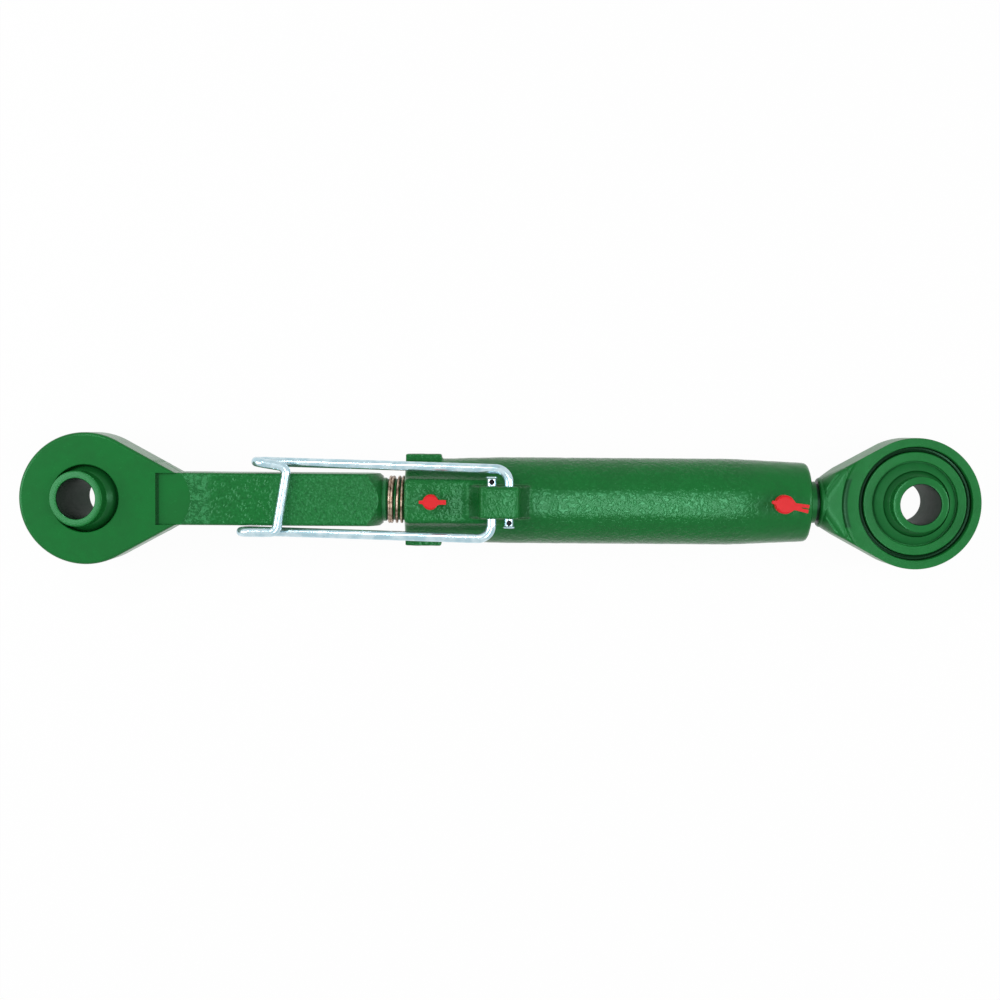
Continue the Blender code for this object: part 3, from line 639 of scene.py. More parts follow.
def flank(distance):
    return (EYE_RADIUS - distance * math.sin(EYE_TAPER)) / math.cos(EYE_TAPER)


def hull(piece):
    """The tightest skin round the piece, with its flat faces whole."""
    with Editing(piece):
        bpy.ops.mesh.convex_hull(delete_unused=True, use_existing_faces=False, join_triangles=True)
        bpy.ops.mesh.select_all(action="SELECT")
        bpy.ops.mesh.dissolve_limited(angle_limit=math.radians(0.5))
    return piece


def soft_skin(piece, rounds):
    """One closed skin of small even faces, smoothed."""
    apply_modifier(piece, "REMESH", mode="VOXEL", voxel_size=SKIN_VOXEL)
    return apply_modifier(piece, "SMOOTH", factor=0.5, iterations=rounds)


def eye_forging(name, centre, inward, faced, neck_half):
    """The disc with its flanks, and the raised forging that the facing cut leaves beyond the ball."""
    low, high = sorted((faced * (LIP_CREST + CLEARANCE), -faced * EYE_PLAIN_FACE))
    disc = drum(name, EYE_RADIUS, high - low, at(centre, 0.0, (low + high) / 2), steps=EYE_STEPS)
    end = centre + inward * flank_end(neck_half)
    near, far = sorted((end, end - inward * 0.0010))
    root = block(name + "_root", at(near, -neck_half, low), at(far, neck_half, high))
    eye = hull(join(disc, root))
    round_edges(eye, EYE_EDGE, 4, 50.0)
    low, high = sorted((0.0, faced * RAW_FORGING))
    start = centre + inward * RAISED_START
    half = flank(RAISED_START) - EYE_EDGE / 2
    near, far = sorted((start, start + inward * RAISED_LENGTH))
    raised = block(name + "_raised", at(near, -half, low), at(far, half, high))
    round_edges(raised, RAISED_EDGE, 8, 50.0)
    neck = drum(name + "_neck_end", neck_half + 0.0004, 0.0004, at(end - inward * 0.0003), "X")
    return shape_with(eye, "UNION", soft_skin(hull(join(raised, neck)), 24))


def facing_cutter(name, centre, faced):
    """The facing cut, the press groove and the lip with its stepped cone, in one turned tool."""
    above = EYE_PLAIN_FACE + 0.010
    half = SWAGE_WIDTH / 2
    groove = LIP_RADIUS + half
    profile = [(0.0, above), (FACING_RADIUS, above)]
    for inward, rise in COVE:
        profile.append((FACING_RADIUS - inward, EYE_FACED_SIDE + rise))
    profile += [(groove + half + 0.0004, EYE_FACED_SIDE), (groove + half, EYE_FACED_SIDE - 0.0005)]
    for share, rise in SWAGE_ROUND:
        profile.append((groove + half * share, SWAGE_FLOOR + rise))
    profile += [
        (groove - half, LIP_FACE - 0.0006),
        (groove - half - 0.0004, LIP_FACE - 0.0001),
        (groove - half - 0.0010, LIP_FACE),
        (LIP_FOOT_RADIUS + 0.0004, LIP_FACE),
        (LIP_FOOT_RADIUS, LIP_FACE - 0.0004),
        (LIP_FOOT_RADIUS, LIP_FOOT),
        (LIP_FOOT_RADIUS - 0.0006, LIP_FOOT),
        (LIP_CREST_RADIUS + 0.0006, LIP_CREST - 0.0006),
        (LIP_CREST_RADIUS, LIP_CREST),
        (LIP_CREST_RADIUS - 0.0004, LIP_CREST / 4),
        (0.0, LIP_CREST / 4),
    ]
    profile = [(radius, faced * height) for radius, height in profile]
    return lathe(name + "_facing", profile, at(centre), "Z", EYE_STEPS)


def seat_cutters(name, centre, faced):
    """The ball's seat, and the mouth in the closed side that the sleeve stands out of."""
    bpy.ops.mesh.primitive_uv_sphere_add(
        segments=EYE_STEPS, ring_count=EYE_STEPS // 2, radius=SEAT_RADIUS, location=at(centre)
    )
    seat = settle(fresh(name + "_seat"))
    chamfer = 0.0004
    face = EYE_PLAIN_FACE
    start = -0.004  # inside the seat, clear of its equator
    profile = [
        (0.0, start),
        (MOUTH_RADIUS, start),
        (MOUTH_RADIUS, face - chamfer),
        (MOUTH_RADIUS + 2 * chamfer, face + chamfer),
        (0.0, face + chamfer),
    ]
    profile = [(radius, -faced * height) for radius, height in profile]
    return [seat, lathe(name + "_mouth", profile, at(centre), "Z", EYE_STEPS)]


def machine_eye(eye, name, centre, faced):
    """Faces the eye, cuts the ball's seat and its mouth, and merges what the cuts leave behind."""
    shape_with(eye, "DIFFERENCE", facing_cutter(name, centre, faced), *seat_cutters(name, centre, faced))
    with Editing(eye):
        bpy.ops.mesh.remove_doubles(threshold=CUT_MERGE)
        bpy.ops.mesh.dissolve_degenerate(threshold=CUT_MERGE)


print("eye flanks end", round(flank_end(NECK_RADIUS) * 1000, 1), "mm from the eye's centre")

# %% [markdown]
# A thread is a ridge wound round a core. The ridge is a round rod bent along a helix and half sunk into
# the core, which gives the rounded crest that paint leaves. The front thread winds the other way.

# %% Threaded rod
THREAD_RADIUS = 0.0134
THREAD_REACH = 0.1095
THREAD_PITCH = 0.0030
THREAD_DEPTH = 0.0011
THREAD_STEPS = 40  # corners of the ridge in one turn


def threaded_rod(name, start, end, hand):
    """A core with its helical ridge. A positive hand winds it to the right."""
    low, high = sorted((start, end))
    root = THREAD_RADIUS - THREAD_DEPTH
    turns = round((high - low) / THREAD_PITCH)
    first, run = low + THREAD_PITCH / 2, high - low - THREAD_PITCH
    route = helix(turns, THREAD_STEPS, root, lambda turn: first + run * turn / turns, 0.0, -hand)
    ridge = bent_wire(name + "_ridge", route, THREAD_DEPTH, 2)
    return join(lathe(name, plug(root, low, high), at(0.0), "X", 80), ridge)


print("thread ridge:", THREAD_DEPTH * MM, "mm high, one turn each", THREAD_PITCH * MM, "mm")

# %% [markdown]
# The front screw: eye, square bar and left-hand thread in one forging. The bar's upper face starts with a
# shallow round pocket where the facing tool ran out, and its far end is turned to a cone, which gives each
# flat its curved end. A plain collar joins it to the thread.

# %% Front screw
BAR_CHAMFER = 0.0025
BAR_POINT_RADIUS = 0.0153
BAR_POINT_SLOPE = math.radians(37.8)
BAR_POCKET_RADIUS = 0.0230
BAR_POCKET_DEPTH = 0.0008
COLLAR_RADIUS = 0.0140
COLLAR_LENGTH = 0.0026
EYE_MIDDLE = REAR_EYE * MM
WRINKLES_END = -182.5  # the borders between the bar's three skins, in millimetres along the link
PITS_END = -143.5
GRAIN_END = -76.0


def press_groove_shade(coat, along, across, up):
    """1 in the groove round the lip, for painted shade there. Along is from the eye's middle."""
    outer = (LIP_RADIUS + SWAGE_WIDTH) * MM
    depth = (up - AXIS_HEIGHT * MM).size()
    floor = coat.ramp(depth, (LIP_FACE - 0.0006) * MM, (LIP_FACE - 0.0012) * MM)
    return coat.band(span(along, across), LIP_RADIUS * MM, outer, 0.2) * floor * 1.5


def front_relief(coat, place):
    """Smooth pocket, a wrinkled zone bright with a painted highlight, a pitted cast zone, then a fine even
    grain. Their pale and dark flecks are painted glints and painted shade.
    """
    along, across, up = coat.split(place)
    past_pocket = coat.ramp(span(along + 220.5, across), 22.6, 23.3)
    strayed = along + coat.noise(place, 4.0) * 6.0
    wrinkled = past_pocket * coat.ramp(strayed, WRINKLES_END + 2.0, WRINKLES_END - 2.0)
    wrinkled = wrinkled * coat.ramp(along, -221.8, -221.2)
    pitted = coat.band(along + coat.noise(place, 5.0) * 5.0, WRINKLES_END, PITS_END, 1.5)
    grained = coat.band(along + coat.noise(place, 5.0) * 4.0, PITS_END, GRAIN_END, 1.5)
    folds = creases(coat, place, 2.7, 15.0)
    pits = coat.ramp(coat.cells(place, 3.6), 0.10, 0.45)
    grain = coat.noise(place, 1.7, 2.0, 0.6)
    flecks = coat.noise(place, 1.5, 1.0)
    height = folds * wrinkled * 0.28 + pits * pitted * 0.24 + grain * grained * 0.30
    height = height + coat.noise(place, 6.0, 3.0) * (pitted * 0.30 + grained * 0.10 + 0.04)
    height = height + coat.noise(place, 1.6, 3.0) * 0.018
    # Pale: the painted highlight on the wrinkled zone, and painted glints on its folds, the pits and the
    # grain.
    pale = wrinkled * ((folds ** 3.0) * 0.60 + 0.12) + pitted * coat.ramp(flecks, 0.60, 0.70) * 0.42
    pale = pale + grained * (coat.ramp(grain, 0.52, 0.66) * 0.36 + 0.06)
    # Painted light on the collar, which lies in shade.
    pale = pale + coat.band(along, GRAIN_END - 0.2, -73.5, 0.2) * 0.55
    # Dark: painted shade between the folds, in the grain and among the pits.
    dark = wrinkled * (1.0 - folds) ** 3.0 * 0.40 + grained * coat.ramp(grain, 0.46, 0.34) * 0.40
    dark = dark + pitted * coat.ramp(flecks, 0.42, 0.34) * 0.30
    # Painted shade on the leaning wall of the recess at the eye.
    wall = coat.band(along, -219.6, -217.6, 0.15) * coat.band(across, -16.6, 16.6, 0.2)
    dark = dark.most(wall * coat.band(up - AXIS_HEIGHT * MM, 15.9, 18.8, 0.15) * 0.9)
    rough = wrinkled * 0.04 + grained * 0.04 + 0.26
    return height, pale, press_groove_shade(coat, along + EYE_MIDDLE, across, up).most(dark), rough


def square_bar(name, floor, above):
    """The bar with its chamfers, its turned point and the round pocket in its upper face."""
    low, high = at(BAR_START - 0.010, -BAR_HALF, -BAR_HALF), at(BAR_END + 0.001, BAR_HALF, BAR_HALF)
    bar = block(name + "_bar", low, high)
    with Editing(bar):
        bpy.ops.mesh.select_mode(type="EDGE")
        mesh = bmesh.from_edit_mesh(bar.data)
        for edge in mesh.edges:
            run = edge.verts[0].co - edge.verts[1].co
            edge.select = abs(run.x) > BAR_HALF * 2.5
        bmesh.update_edit_mesh(bar.data)
        bpy.ops.mesh.bevel(offset=BAR_CHAMFER, segments=5, affect="EDGES")
    wide = 2 * BAR_HALF
    back = BAR_END - (wide - BAR_POINT_RADIUS) / math.tan(BAR_POINT_SLOPE)
    point = [(0.0, BAR_END), (BAR_POINT_RADIUS, BAR_END), (wide, back), (wide, FRONT_EYE), (0.0, FRONT_EYE)]
    shape_with(bar, "INTERSECT", lathe(name + "_point", point, at(0.0), "X", 160))
    middle = at(BAR_START + 0.0012, 0.0, (above + floor) / 2)
    pocket = drum(name + "_pocket", BAR_POCKET_RADIUS, above - floor, middle, steps=160)
    return round_edges(shape_with(bar, "DIFFERENCE", pocket), 0.0005, 2, 20.0)


def front_screw():
    name = "front_eye_and_bar"
    eye = eye_forging(name, FRONT_EYE, 1, -1, BAR_HALF - 0.0026)
    slot = BAR_HALF - 0.0002
    floor, above = BAR_HALF - BAR_POCKET_DEPTH, EYE_PLAIN_FACE + 0.0050
    edge, foot = 0.0018, 0.0034  # the wall of the pocket leans from its edge to its foot
    outline = [(0.04, floor - 0.0002), (foot, floor - 0.0002), (edge, EYE_PLAIN_FACE)]
    outline += [(0.0, above), (0.04, above)]
    shape_with(eye, "DIFFERENCE", slab(name + "_recess", outline, at(BAR_START), -slot, slot, "Y"))
    bar = square_bar(name, floor, above)
    face, root = BAR_END + COLLAR_LENGTH, THREAD_RADIUS - THREAD_DEPTH - 0.0001
    collar = [(0.0, BAR_END - 0.010), (COLLAR_RADIUS, BAR_END - 0.010), (COLLAR_RADIUS, face - 0.0004)]
    collar += [(COLLAR_RADIUS - 0.0004, face), (root, face + 0.0004), (0.0, face + 0.0004)]
    shape_with(eye, "UNION", bar, lathe(name + "_collar", collar, at(0.0)))
    machine_eye(eye, name, FRONT_EYE, -1)
    finish_piece(eye, "front_screw", enamel("green_enamel_bar", front_relief), "green_paint", "front_screw")


front_screw()
THREAD_PAINT = enamel("green_enamel_thread", forged)
front_thread = threaded_rod("front_thread", BAR_END + COLLAR_LENGTH - 0.002, BARREL_FRONT + THREAD_REACH, -1)
finish_piece(front_thread, "front_screw", THREAD_PAINT, "green_paint")

# %% [markdown]
# The rear screw: the same eye the other way up, with a round neck. The neck swells into the flat flanks
# as a turned cone meets the forging, which leaves the curved line that shows behind the shoulder.

# %% Rear screw
PLAIN_NECK = 0.0120  # where the thread has run out, before the shoulder
UNDERCUT = 0.0018
UNDERCUT_DEPTH = 0.0016
NECK_EDGE = 0.0020


def rear_relief(coat, place):
    """Tool rings on the lip and the rim round the ball, forged skin elsewhere. Painted light on the lip's
    cone, and painted shade in the press groove, the cove of the facing cut and the undercut at the shoulder.
    """
    along, across, up = coat.split(place)
    distance = span(along - EYE_MIDDLE, across)
    turned = coat.band(distance, 26.0, 48.0, 0.8) * coat.ramp(up, 38.0, 38.6)
    height = (distance * 9.0).wave() * turned * 0.010 + coat.noise(place, 7.0, 3.0) * 0.07
    height = height + coat.noise(place, 1.8, 3.0) * 0.030
    pale = coat.ramp(coat.noise(place, 9.0, 2.0), 0.55, 0.75) * 0.06
    # Painted light on the cone between the lip and the sleeve.
    pale = pale + coat.band(distance, 21.5, 26.8, 0.4) * coat.ramp(up, 34.0, 35.0) * 0.25
    # Painted shade in the cove where the facing cut runs out.
    cove_shade = coat.band(distance, FACING_RADIUS * MM - 4.4, FACING_RADIUS * MM - 0.2, 0.7)
    cove_shade = cove_shade * coat.ramp(up, 40.0, 40.5) * coat.band(across, -15.5, 15.5, 1.0)
    # Painted shade, near black, in the undercut before the shoulder.
    undercut_shade = coat.band(along, (SHOULDER - UNDERCUT) * MM, SHOULDER * MM + 0.1, 0.1)
    undercut_shade = undercut_shade * coat.ramp(span(across, up - AXIS_HEIGHT * MM), 13.6, 13.3)
    deep = press_groove_shade(coat, along - EYE_MIDDLE, across, up).most(cove_shade).most(undercut_shade * 1.7)
    return height, pale, deep, coat.noise(place, 3.0) * 0.08 + 0.28


def rear_screw():
    name = "rear_eye_and_neck"
    neck_half = NECK_RADIUS - 0.0004
    eye = eye_forging(name, REAR_EYE, -1, 1, neck_half)
    waist = REAR_EYE - flank_end(neck_half)
    wide = EYE_RADIUS + 0.020
    blend = [(0.0, REAR_EYE + wide), (wide, REAR_EYE + wide), (wide, waist + wide - NECK_RADIUS)]
    blend += [(NECK_RADIUS, waist), (NECK_RADIUS, waist - 0.002), (0.0, waist - 0.002)]
    shape_with(eye, "INTERSECT", lathe(name + "_blend", blend, at(0.0), "X", 160))
    neck_end = REAR_EYE - FACING_RADIUS * 0.7
    corner = arc((SHOULDER + NECK_EDGE, NECK_RADIUS - NECK_EDGE), NECK_EDGE, 90, 180, 8)
    neck = [(0.0, neck_end), (NECK_RADIUS, neck_end)] + [(radius, x) for x, radius in corner]
    inner = THREAD_RADIUS - UNDERCUT_DEPTH
    neck += [(inner, SHOULDER), (inner, SHOULDER - UNDERCUT), (THREAD_RADIUS, SHOULDER - UNDERCUT)]
    neck += [(THREAD_RADIUS, SHOULDER - PLAIN_NECK), (0.0, SHOULDER - PLAIN_NECK)]
    shape_with(eye, "UNION", lathe(name + "_neck", neck, at(0.0), "X", 128))
    machine_eye(eye, name, REAR_EYE, 1)
    finish_piece(eye, "rear_screw", enamel("green_enamel_eye", rear_relief), "green_paint", "rear_screw")


rear_screw()
rear_thread = threaded_rod("rear_thread", SHOULDER - PLAIN_NECK + 0.001, BARREL_REAR - THREAD_REACH, 1)
finish_piece(rear_thread, "rear_screw", THREAD_PAINT, "green_paint")

# %% [markdown]
# The swivel balls. A ball and its two sleeves are one turned piece, bored for the hitch pin. The tool leaves
# fine rings on the ball, and the bore is left dark.

# %% Swivel balls
SLEEVE_EDGE = 0.0008


def ball_relief(centre, lean):
    """Rings about the bore, which leans with the ball, a dark bare bore, sleeve ends a touch paler, and
    painted shade on the ball outside the sleeves, darkest in a line where it meets the lip.
    """

    def relief(coat, place):
        middle = tuple(at(centre) * -MM)
        spot = coat.add("Mapping", {"Vector": place, "Location": middle}, vector_type="POINT")
        spot = coat.add("Mapping", {"Vector": spot, "Rotation": (0.0, lean, 0.0)}, vector_type="POINT")
        along, across, up = coat.split(spot)
        rise = up.size()
        distance = span(along, across)
        bore = coat.ramp(distance, PIN_BORE_RADIUS * MM + 0.5, PIN_BORE_RADIUS * MM + 0.1)
        height = (distance * 8.0).wave() * (1.0 - bore) * 0.010 + (up * 5.0).wave() * bore * 0.015
        height = height + coat.noise(place, 5.0, 3.0) * 0.03
        pale = coat.band(distance, 13.2, 17.6, 0.3) * coat.ramp(rise, 24.6, 25.0) * 0.06
        rough = coat.noise(place, 3.0) * 0.06 + 0.16 + bore * 0.40
        # Painted shade on the ball where it sinks into the eye, and darker still in a line at the lip.
        ball = coat.ramp(distance, SLEEVE_RADIUS * MM + 0.1, SLEEVE_RADIUS * MM + 0.6)
        ring = coat.band(rise, 11.8, 12.5, 0.2) * ball
        return height, pale, (bore * 1.9).most(ball * 0.45).most(ring * 0.9), rough + ball * 0.12

    return relief


def swivel_ball(side, centre, lean):
    name = side + "_swivel_ball"
    half, edge = BALL_WIDTH / 2, SLEEVE_EDGE
    foot = math.degrees(math.acos(SLEEVE_RADIUS / BALL_RADIUS))
    sleeve = [
        (PIN_BORE_RADIUS, half - edge),
        (PIN_BORE_RADIUS + edge * 0.35, half - edge * 0.35),
        (PIN_BORE_RADIUS + edge, half),
        (SLEEVE_RADIUS - edge, half),
        (SLEEVE_RADIUS - edge * 0.25, half - edge * 0.35),
        (SLEEVE_RADIUS, half - edge),
    ]
    profile = sleeve + arc((0.0, 0.0), BALL_RADIUS, foot, -foot, 44)
    profile += [(radius, -height) for radius, height in reversed(sleeve)]
    ball = lathe(name, profile + [profile[0]], at(centre), "Z", 128)
    only(ball)
    bpy.ops.transform.rotate(value=lean, orient_axis="Y", orient_type="GLOBAL", center_override=at(centre))
    paint = enamel("green_enamel_" + name, ball_relief(centre, lean))
    finish_piece(ball, side + "_ball", paint, "green_paint", side + "_ball")


swivel_ball("front", FRONT_EYE, SWIVEL)
swivel_ball("rear", REAR_EYE, 0.0)

# %% [markdown]
# The barrel is one casting: round body, two ears, grease boss and lug. In a casting nothing meets at a
# sharp corner. So the raw shapes are joined, remeshed to one skin and smoothed, which rounds every inner
# and outer corner alike, and the skin then gets its slow waves. The bores come last, because they were
# machined after casting and are crisp.

# %% Barrel
BARREL_RADIUS = 0.0274
BARREL_FRONT_RADIUS = 0.0262
BARREL_REAR_RADIUS = 0.0252
BARREL_TAPER = 0.0480
BARREL_EDGE = 0.0028
CAST_EDGE = 0.0012
TAPPED_LENGTH = 0.0550
CHAMBER_RADIUS = 0.0165
EAR_SPAN = 0.0586
EAR_LENGTH = 0.0225
EAR_THICKNESS = 0.0120
BOSS_TOP = 0.0275
BOSS_STEP = 0.0262
BOSS_HALF_WIDTH = 0.0146
BOSS_FOOT, BOSS_BROW = 1.25, 0.95  # how much wider the boss is at its foot and at its top
BOSS_LENGTH = 0.0340
LUG_TOP = 0.04098
LUG_TOP_HALF = 0.0120
LUG_HALF_WIDTH = 0.0100
WIRE_RADIUS = 0.0030
WIRE_PIVOT_HEIGHT = 0.0340
WIRE_PIVOT_BEHIND = 0.0049
WIRE_PIVOT_AHEAD = 0.0060
FITTING_SPOT_FACE = 0.0252
FITTING_STEM_RADIUS = 0.0027
SKIN_LOSS = 0.0003  # what smoothing takes off an outer edge
REAR_LOSS = 0.0018  # the same at the rounded rear end
SOFT_FROM = 0.0120  # the lug and boss rise above this height, and are smoothed once more
SOFT_ROUNDS = 12
LUG_ROOT = 0.0200
LUG_HOLLOW = 2.2


def raw_barrel():
    """The turned body, the ears, the two steps of the boss and the lug, before they become one skin."""
    end = BARREL_REAR + REAR_LOSS
    rear = arc((end - BARREL_EDGE, BARREL_REAR_RADIUS + SKIN_LOSS - BARREL_EDGE), BARREL_EDGE, 0, 90, 6)
    profile = [(0.0, end)] + [(radius, x) for x, radius in rear]
    profile += [
        (BARREL_RADIUS + SKIN_LOSS, BARREL_REAR - BARREL_TAPER),
        (BARREL_RADIUS + SKIN_LOSS, LUG_X),
        (BARREL_FRONT_RADIUS + SKIN_LOSS, BARREL_FRONT + EAR_LENGTH),
        (BARREL_FRONT_RADIUS + SKIN_LOSS, BARREL_FRONT + CAST_EDGE),
        (BARREL_FRONT_RADIUS - CAST_EDGE, BARREL_FRONT - SKIN_LOSS),
        (0.0, BARREL_FRONT - SKIN_LOSS),
    ]
    casting = lathe("barrel_casting", profile, at(0.0), "X", 128)
    front = BARREL_FRONT - SKIN_LOSS
    half_ear, half_span = EAR_THICKNESS / 2 + SKIN_LOSS, EAR_SPAN / 2 + SKIN_LOSS
    ear_end = BARREL_FRONT + EAR_LENGTH + SKIN_LOSS
    ears = block("ears", at(front, -half_span, -half_ear), at(ear_end, half_span, half_ear))
    boss_end = BARREL_FRONT + BOSS_LENGTH
    steps = []
    for start, finish, top in ((front, boss_end, BOSS_TOP), (boss_end, LUG_X, BOSS_STEP)):
        step = block("boss", at(start, -BOSS_HALF_WIDTH, 0.008), at(finish, BOSS_HALF_WIDTH, top))
        with Editing(step):
            for share, low in ((BOSS_FOOT, True), (BOSS_BROW, False)):
                pick(step, lambda spot: (spot.z < AXIS_HEIGHT + top - 0.001) == low)
                bpy.ops.transform.resize(value=(1.0, share, 1.0), center_override=at(0.0))
        steps.append(step)
    flank_line = [(LUG_ROOT, BARREL_RADIUS - 0.006)]
    for i in range(9):
        share = i / 8
        spread = (LUG_ROOT - LUG_TOP_HALF) * (1.0 - share) ** LUG_HOLLOW
        flank_line.append((LUG_TOP_HALF + spread, BARREL_RADIUS + (LUG_TOP - BARREL_RADIUS) * share))
    outline = flank_line + [(-along, up) for along, up in reversed(flank_line)]
    half = LUG_HALF_WIDTH + SKIN_LOSS
    return shape_with(casting, "UNION", ears, *steps, slab("lug", outline, at(LUG_X), -half, half, "Y"))


def barrel_tools():
    """What drills, taps and spot faces take out of the casting."""
    bore, past = THREAD_RADIUS + CLEARANCE, 0.0050
    ramp = CHAMBER_RADIUS - bore
    hollow = [
        (0.0, BARREL_REAR + past),
        (bore, BARREL_REAR + past),
        (bore, BARREL_REAR - TAPPED_LENGTH),
        (CHAMBER_RADIUS, BARREL_REAR - TAPPED_LENGTH - ramp),
        (CHAMBER_RADIUS, BARREL_FRONT + TAPPED_LENGTH + ramp),
        (bore, BARREL_FRONT + TAPPED_LENGTH),
        (bore, BARREL_FRONT - past),
        (0.0, BARREL_FRONT - past),
    ]
    half, flat = LUG_HALF_WIDTH + past, FITTING_STEM_RADIUS * 2
    pin, stem = WIRE_RADIUS + CLEARANCE, FITTING_STEM_RADIUS + CLEARANCE
    holes = (
        (pin, -half, half, at(LUG_X - WIRE_PIVOT_BEHIND, 0.0, WIRE_PIVOT_HEIGHT), "Y", 40),
        (pin, -half, half, at(LUG_X + WIRE_PIVOT_AHEAD, 0.0, WIRE_PIVOT_HEIGHT), "Y", 40),
        (stem, bore / 2, BOSS_TOP + past, at(FRONT_FITTING_X), "Z", 32),
        (stem, bore / 2, FITTING_SPOT_FACE + past, at(REAR_FITTING_X), "Z", 32),
        (flat, FITTING_SPOT_FACE, FITTING_SPOT_FACE + past, at(REAR_FITTING_X), "Z", 48),
    )
    tools = [lathe("bore", hollow, at(0.0))]
    for radius, low, high, place, axis, steps in holes:
        tools.append(lathe("hole", plug(radius, low, high), place, axis, steps))
    return tools


def barrel_casting():
    casting = soft_skin(raw_barrel(), 4)
    with Editing(casting):
        for ahead_of, rounds in ((0.030, SOFT_ROUNDS), (LUG_X - LUG_ROOT, 2 * SOFT_ROUNDS)):
            pick(casting, lambda spot: spot.x < ahead_of and spot.z > AXIS_HEIGHT + SOFT_FROM)
            bpy.ops.mesh.vertices_smooth(factor=0.5, repeat=rounds)
    waves = bpy.data.textures.new("cast_waves", "CLOUDS")
    waves.noise_scale = 0.006
    waves.noise_depth = 2
    settings = {"texture_coords": "LOCAL", "strength": 0.00030, "mid_level": 0.55}
    apply_modifier(casting, "DISPLACE", texture=waves, **settings)
    shape_with(casting, "DIFFERENCE", *barrel_tools())
    finish_piece(casting, "barrel", enamel("green_enamel_cast", cast), "green_paint", "barrel", smooth=40.0)


barrel_casting()

# %% [markdown]
# The lock wire is one bent rod. A wire is quickest as a curve: its corners are given with the radius of the
# bending pin, the round section comes from the curve's bevel, and converting it gives a mesh.

# %% Lock wire
WIRE_PIN_OUT = 0.0059
WIRE_HEAD_RADIUS = 0.0037
WIRE_HEAD_LENGTH = 0.0013
WIRE_HOLE_RADIUS = 0.0017
WIRE_HOLE_INSET = 0.0031
WIRE_HOLE_FLOOR = 0.0006  # the steel left under the blind hole
WIRE_BEND = 0.0090
WIRE_LOOP_BEND = 0.0065
WIRE_CROSS_BEND = 0.0050
WIRE_LOOP_HEIGHT = 0.0146
WIRE_UPPER_LEG = (0.0207, 0.0240)
WIRE_LOWER_LEG = (0.0228, 0.0206)
WIRE_UPPER_LOOP = 0.1550
WIRE_LOWER_LOOP = 0.1645
WIRE_UPPER_CROSS = 0.1344
WIRE_LOWER_CROSS = 0.1413


def rounded_route(corners, step):
    """Points along straight runs whose corners are rounded to the radius beside each."""
    route = [Vector(corners[0][0])]
    for (before, _), (corner, radius), (after, _) in zip(corners, corners[1:], corners[2:]):
        corner = Vector(corner)
        back = (Vector(before) - corner).normalized()
        onward = (Vector(after) - corner).normalized()
        half = back.angle(onward) / 2
        centre = corner + (back + onward).normalized() * radius / math.sin(half)
        first = corner + back * radius / math.tan(half) - centre
        last = corner + onward * radius / math.tan(half) - centre
        sweep = math.pi - 2 * half
        count = max(3, round(radius * sweep / step))
        for i in range(count + 1):
            turn = sweep * i / count
            spoke = first * math.sin(sweep - turn) + last * math.sin(turn)
            route.append(centre + spoke / math.sin(sweep))
    route.append(Vector(corners[-1][0]))
    return route


def lock_wire():
    rest = BAR_HALF + WIRE_RADIUS + CLEARANCE
    dip = rest - WIRE_LOOP_HEIGHT
    pin_end = LUG_HALF_WIDTH + WIRE_PIN_OUT
    ahead, behind = LUG_X + WIRE_PIVOT_AHEAD, LUG_X - WIRE_PIVOT_BEHIND
    upper_loop, lower_loop = LUG_X - WIRE_UPPER_LOOP, LUG_X - WIRE_LOWER_LOOP
    upper, lower = WIRE_UPPER_LEG, WIRE_LOWER_LEG
    corners = [
        (at(ahead, -pin_end, WIRE_PIVOT_HEIGHT), 0.0),
        (at(ahead, upper[0], WIRE_PIVOT_HEIGHT), WIRE_BEND),
        (at(upper_loop, upper[1], dip), WIRE_LOOP_BEND),
        (at(upper_loop, upper[1], rest), WIRE_LOOP_BEND),
        (at(LUG_X - WIRE_UPPER_CROSS, upper[0], rest), WIRE_CROSS_BEND),
        (at(LUG_X - WIRE_LOWER_CROSS, -lower[1], rest), WIRE_CROSS_BEND),
        (at(lower_loop, -lower[1], rest), WIRE_LOOP_BEND),
        (at(lower_loop, -lower[1], dip), WIRE_LOOP_BEND),
        (at(behind, -lower[0], WIRE_PIVOT_HEIGHT), WIRE_BEND),
        (at(behind, pin_end, WIRE_PIVOT_HEIGHT), 0.0),
    ]
    wire = bent_wire("bent_lock_wire", rounded_route(corners, 0.0008), WIRE_RADIUS, 10)
    holes = []
    for side, x in ((-1, ahead), (1, behind)):
        inner, outer = pin_end - WIRE_HEAD_LENGTH, pin_end + 0.0002
        head = [
            (0.0, inner),
            (WIRE_RADIUS + 0.0001, inner),
            (WIRE_HEAD_RADIUS - 0.0002, inner + 0.0003),
            (WIRE_HEAD_RADIUS, inner + 0.0007),
            (WIRE_HEAD_RADIUS - 0.0003, outer - 0.0001),
            (WIRE_HEAD_RADIUS - 0.0006, outer),
            (0.0, outer),
        ]
        head = [(radius, -side * distance) for radius, distance in head]
        shape_with(wire, "UNION", lathe("pin_head", head, at(x, 0.0, WIRE_PIVOT_HEIGHT), "Y", 40))
        reach = WIRE_HEAD_RADIUS * 1.5
        floor = WIRE_HOLE_FLOOR - WIRE_RADIUS
        hole = at(x, side * (pin_end - WIRE_HOLE_INSET), WIRE_PIVOT_HEIGHT)
        drill = lathe("pin_hole", plug(WIRE_HOLE_RADIUS, floor, reach), hole, "Z", 32)
        shape_with(wire, "DIFFERENCE", drill)
        holes.append(hole)
    finish_piece(wire, "lock_wire", zinc_plate("zinc_plate_wire", *holes), "zinc_plate", "lock_wire")


lock_wire()

# %% [markdown]
# The thread spring is bent like the lock wire, along a coil's points. Its turns lie unevenly, as on the real
# link: two of them touch, and the green thread shows in the widest gap.

# %% Thread spring
SPRING_WIRE = 0.00085
SPRING_STEPS = 48
